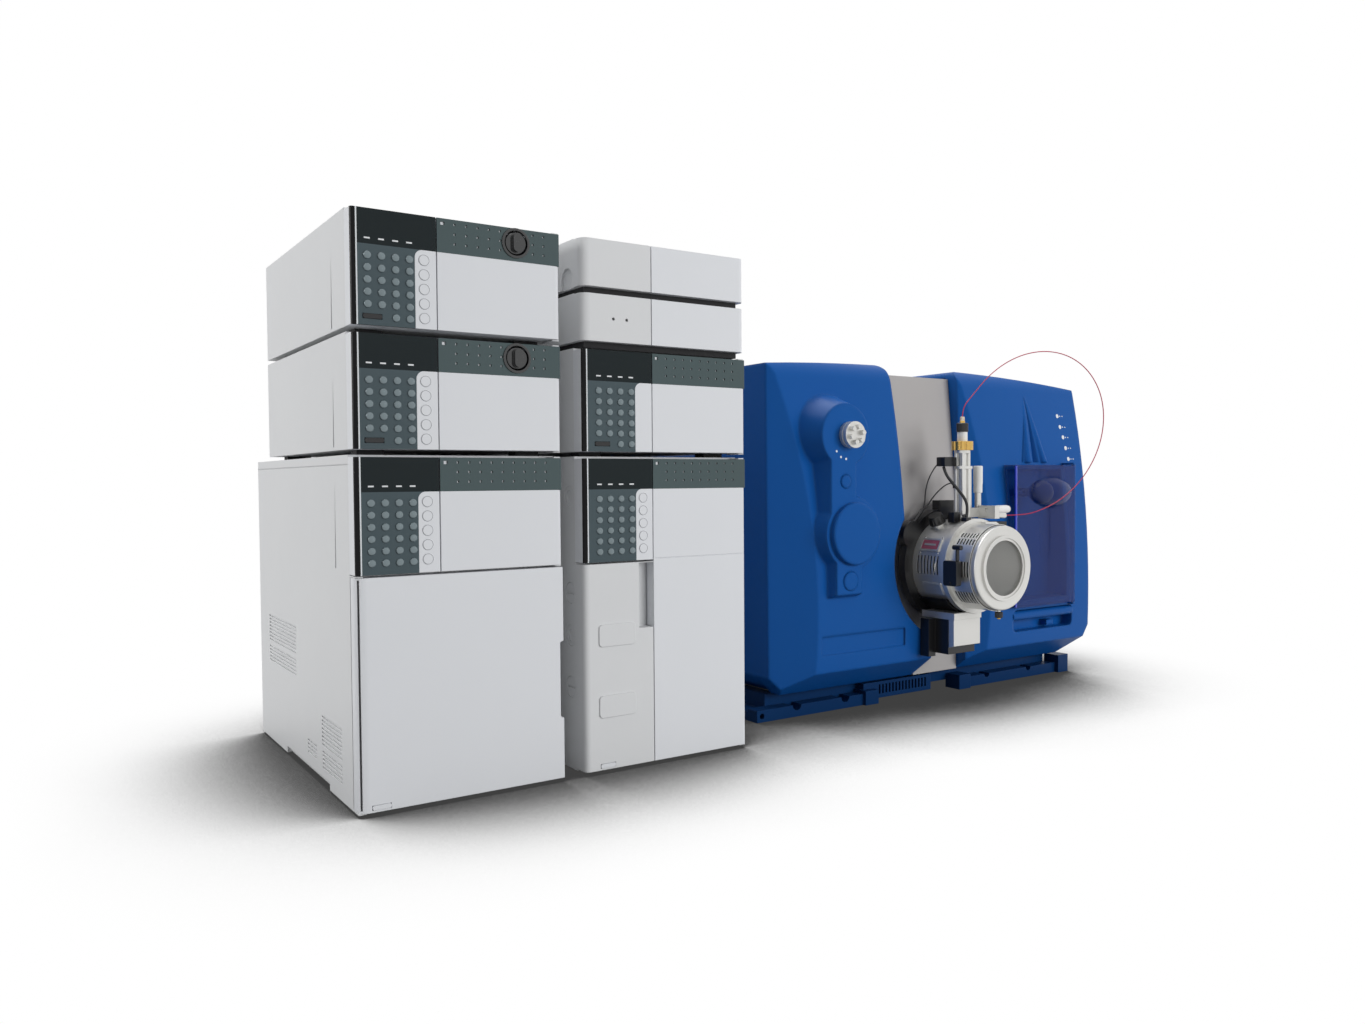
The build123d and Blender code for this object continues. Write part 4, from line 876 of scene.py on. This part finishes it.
blockLook = {
    "cable": ((329.6, 37.6, 403.6), (372.4, 56.4, 419.4), 1.2),
    "gland": ((338.5, -1.5, 311.0), (350.5, 9.5, 317.5), 0.8),
    "junction": ((333.0, 20.0, 308.0), (348.0, 34.0, 326.0), 1.0),
    "lead": ((359.5, 40.0, 366.0), (367.5, 47.0, 377.5), 0.8),
}
for blockName, (low, high, soft) in blockLook.items():
    block = bmesh.new()
    addBlock(block, onSpectro(*low), onSpectro(*high), soft)
    endPiece(blockName + "Block", block, "frame", "black_plastic")

drumLook = {
    "axis": (365.0, 235.0),
    "red": {"angle": 152.0, "y": (20.5, 55.5), "half": 8.0, "radius": 78.9, "thick": 0.7},
    "bar": {"angle": 152.0, "y": (26.0, 50.0), "half": 1.6, "radius": 79.7, "thick": 0.3},
    "flat": {"angle": 208.0, "y": (14.0, 52.0), "half": 9.5, "radius": 78.2, "thick": 0.5},
}


def drumPoint(angle, radius, y):
    a = math.radians(angle)
    x0, z0 = drumLook["axis"]
    return onSpectro(x0 + radius * math.cos(a), y, z0 + radius * math.sin(a))


def makeDrumPlate(name, look, finish):
    # flat plate square to the drum's radius at its angle
    a = math.radians(look["angle"])
    out, along = Vector((math.cos(a), 0, math.sin(a))), Vector((-math.sin(a), 0, math.cos(a)))
    centre = drumPoint(look["angle"], look["radius"], sum(look["y"]) / 2)
    halfY = (look["y"][1] - look["y"][0]) / 2 * mm
    bm = bmesh.new()
    made = bmesh.ops.create_cube(bm, size=1.0)["verts"]
    for vert in made:
        s = vert.co * 2
        vert.co = centre + out * (s.z * look["thick"] / 2 * mm) + along * (s.x * look["half"] * mm)
        vert.co.y += s.y * halfY
    edges = list({edge for vert in made for edge in vert.link_edges})
    bmesh.ops.bevel(bm, geom=edges, offset=0.12 * mm, segments=2, affect="EDGES")
    endPiece(name, bm, "frame", finish)


makeDrumPlate("framedPlate", drumLook["red"], "plateRed")
makeDrumPlate("plateBar", drumLook["bar"], "keyOutline")
makeDrumPlate("flatPlate", drumLook["flat"], "machined_steel")

screwLook = {
    "head": ((2.6, -0.6), (2.6, 0.7), (2.1, 1.2), (0.5, 1.25)),
    "plate": ((141.5, 19.0), (162.5, 19.0), (141.5, 57.0), (162.5, 57.0)),
    "fitting": ((6.2, -2.0), (6.2, 5.0), (4.2, 5.6), (4.2, 11.0), (3.4, 11.6), (1.0, 11.7)),
    "fittings": ((99.0, 14.0), (104.0, 66.0), (76.0, 62.0)),
}
heads, nuts = bmesh.new(), bmesh.new()
for angle, y in screwLook["plate"]:
    out = drumPoint(angle, 1, 0) - drumPoint(angle, 0, 0)
    addLathe(heads, [(r * 0.55, h) for r, h in screwLook["head"]], drumPoint(angle, 77.4, y), out, 12)
for angle, y in screwLook["fittings"]:
    out = drumPoint(angle, 1, 0) - drumPoint(angle, 0, 0)
    addLathe(nuts, screwLook["fitting"], drumPoint(angle, 77.4, y), out, 6)
endPiece("plateScrews", heads, "frame", "brightScrew")
endPiece("drumFittings", nuts, "frame", "brightScrew", 25)

thumbLook = {
    "x": 375.0,
    "y": -39.0,
    "knob": ((5.0, 150.4), (6.6, 151.2), (6.6, 159.6), (5.6, 160.6), (3.2, 160.8)),
    "bead": ((1.2, 147.9), (2.6, 148.6), (2.9, 149.6), (2.6, 150.6)),
}
knob, bead = bmesh.new(), bmesh.new()
thumbFoot = onSpectro(thumbLook["x"], thumbLook["y"], 0)
addLathe(knob, thumbLook["knob"], thumbFoot, (0, 0, 1), 40, 20, 0.5)
addLathe(bead, thumbLook["bead"], thumbFoot, (0, 0, 1), 20)
endPiece("thumbKnob", knob, "frame", "black_plastic", 25)
endPiece("thumbBead", bead, "frame", "brass")

doorEdgeLook = {"low": (529.7, 49.3, 146.5), "high": (534.6, 52.5, 405.5), "soft": 1.2}
doorEdge = bmesh.new()
addBlock(doorEdge, onSpectro(*doorEdgeLook["low"]), onSpectro(*doorEdgeLook["high"]), doorEdgeLook["soft"])
endPiece("doorEdge", doorEdge, "syringe_door", "cobaltEdge")

print("floor and light")
stageLook = {
    "floorSize": 30.0,
    "bounce": 0.30,        # what the floor gives back to the object
    "white": 1.0,          # what the camera sees away from the object
    # darkest glow of the painted shadow on the floor
    "paintedShadowDarkest": 0.05,
    "reach": 0.34,         # how far the painted soft shadow spreads, in metres
    "open": (0.50, 0.97),  # openness at which the painted shadow runs from darkest to the whitest floor
    "ambient": 0.34,
}


def outsideRays(tree):
    # 1 where the camera, a mirror or a clear piece looks straight at this
    seen = addNode(tree, "ShaderNodeLightPath")
    ray = addMath(tree, "MAXIMUM", seen.outputs["Is Camera Ray"], seen.outputs["Is Glossy Ray"])
    return addMath(tree, "MAXIMUM", ray, seen.outputs["Is Transmission Ray"])


def makeFloor(look):
    mesh = bpy.data.meshes.new("floor")
    half = look["floorSize"] / 2
    corners = [(-half, -half, 0), (half, -half, 0), (half, half, 0), (-half, half, 0)]
    mesh.from_pydata(corners, [], [(0, 1, 2, 3)])
    floor = bpy.data.objects.new("floor", mesh)
    bpy.context.scene.collection.objects.link(floor)
    floor.location.z = -0.0002
    material = bpy.data.materials.new("floorPaper")
    material.use_nodes = True
    tree = material.node_tree
    tree.nodes.remove(tree.nodes["Principled BSDF"])
    end = tree.nodes["Material Output"]
    matt = addNode(tree, "ShaderNodeBsdfDiffuse", Color=(look["bounce"], look["bounce"], look["bounce"], 1))
    # painted shadow: the camera sees the floor as a white glow, dimmed near the object by ambient occlusion
    paintedShadowGlow = addNode(tree, "ShaderNodeEmission")
    shadowOpenness = addNode(tree, "ShaderNodeAmbientOcclusion", samples=12)
    shadowOpenness.inputs["Distance"].default_value = look["reach"]
    level = addNode(tree, "ShaderNodeMapRange", interpolation_type="SMOOTHSTEP")
    level.inputs["From Min"].default_value = look["open"][0]
    level.inputs["From Max"].default_value = look["open"][1]
    level.inputs["To Min"].default_value = look["paintedShadowDarkest"]
    level.inputs["To Max"].default_value = look["white"]
    tree.links.new(shadowOpenness.outputs["AO"], level.inputs["Value"])
    tree.links.new(level.outputs["Result"], paintedShadowGlow.inputs["Strength"])
    both = addNode(tree, "ShaderNodeMixShader")
    tree.links.new(outsideRays(tree), both.inputs["Fac"])
    tree.links.new(matt.outputs[0], both.inputs[1])
    tree.links.new(paintedShadowGlow.outputs[0], both.inputs[2])
    tree.links.new(both.outputs[0], end.inputs["Surface"])
    mesh.materials.append(material)


def makeWorld(look):
    world = bpy.data.worlds.new("studio")
    bpy.context.scene.world = world
    world.use_nodes = True
    tree = world.node_tree
    back = tree.nodes["Background"]
    level = addNode(tree, "ShaderNodeMapRange")
    level.inputs["To Min"].default_value = look["ambient"]
    level.inputs["To Max"].default_value = look["white"]
    tree.links.new(outsideRays(tree), level.inputs["Value"])
    tree.links.new(level.outputs["Result"], back.inputs["Strength"])
    back.inputs["Color"].default_value = (1, 1, 1, 1)


lampLooks = {
    "leftSoftbox": {
        "place": (-3.7, 0.25, 1.4), "aim": (-0.6, 0.1, 0.35),
        "size": (1.8, 1.6), "watts": 46, "mirrored": True,
    },
    "rightSoftbox": {
        "place": (1.9, -4.6, 1.3), "aim": (0.0, -0.2, 0.35),
        "size": (3.0, 2.2), "watts": 155, "mirrored": False,
    },
    "topSoftbox": {
        "place": (-0.2, 0.7, 3.2), "aim": (0.0, 0.2, 0.0),
        "size": (3.0, 2.0), "watts": 62, "mirrored": True,
    },
}


def makeLamp(name, look):
    data = bpy.data.lights.new(name, "AREA")
    data.shape = "RECTANGLE"
    data.size, data.size_y = look["size"]
    data.energy = look["watts"]
    lamp = bpy.data.objects.new(name, data)
    lamp.location = look["place"]
    lamp.rotation_euler = (Vector(look["aim"]) - Vector(look["place"])).to_track_quat("-Z", "Y").to_euler()
    lamp.visible_glossy = look["mirrored"]   # keeps a lamp out of the displays
    bpy.context.scene.collection.objects.link(lamp)


makeFloor(stageLook)
makeWorld(stageLook)
for lampName, lampLook in lampLooks.items():
    makeLamp(lampName, lampLook)
bpy.context.scene.view_settings.view_transform = "Standard"
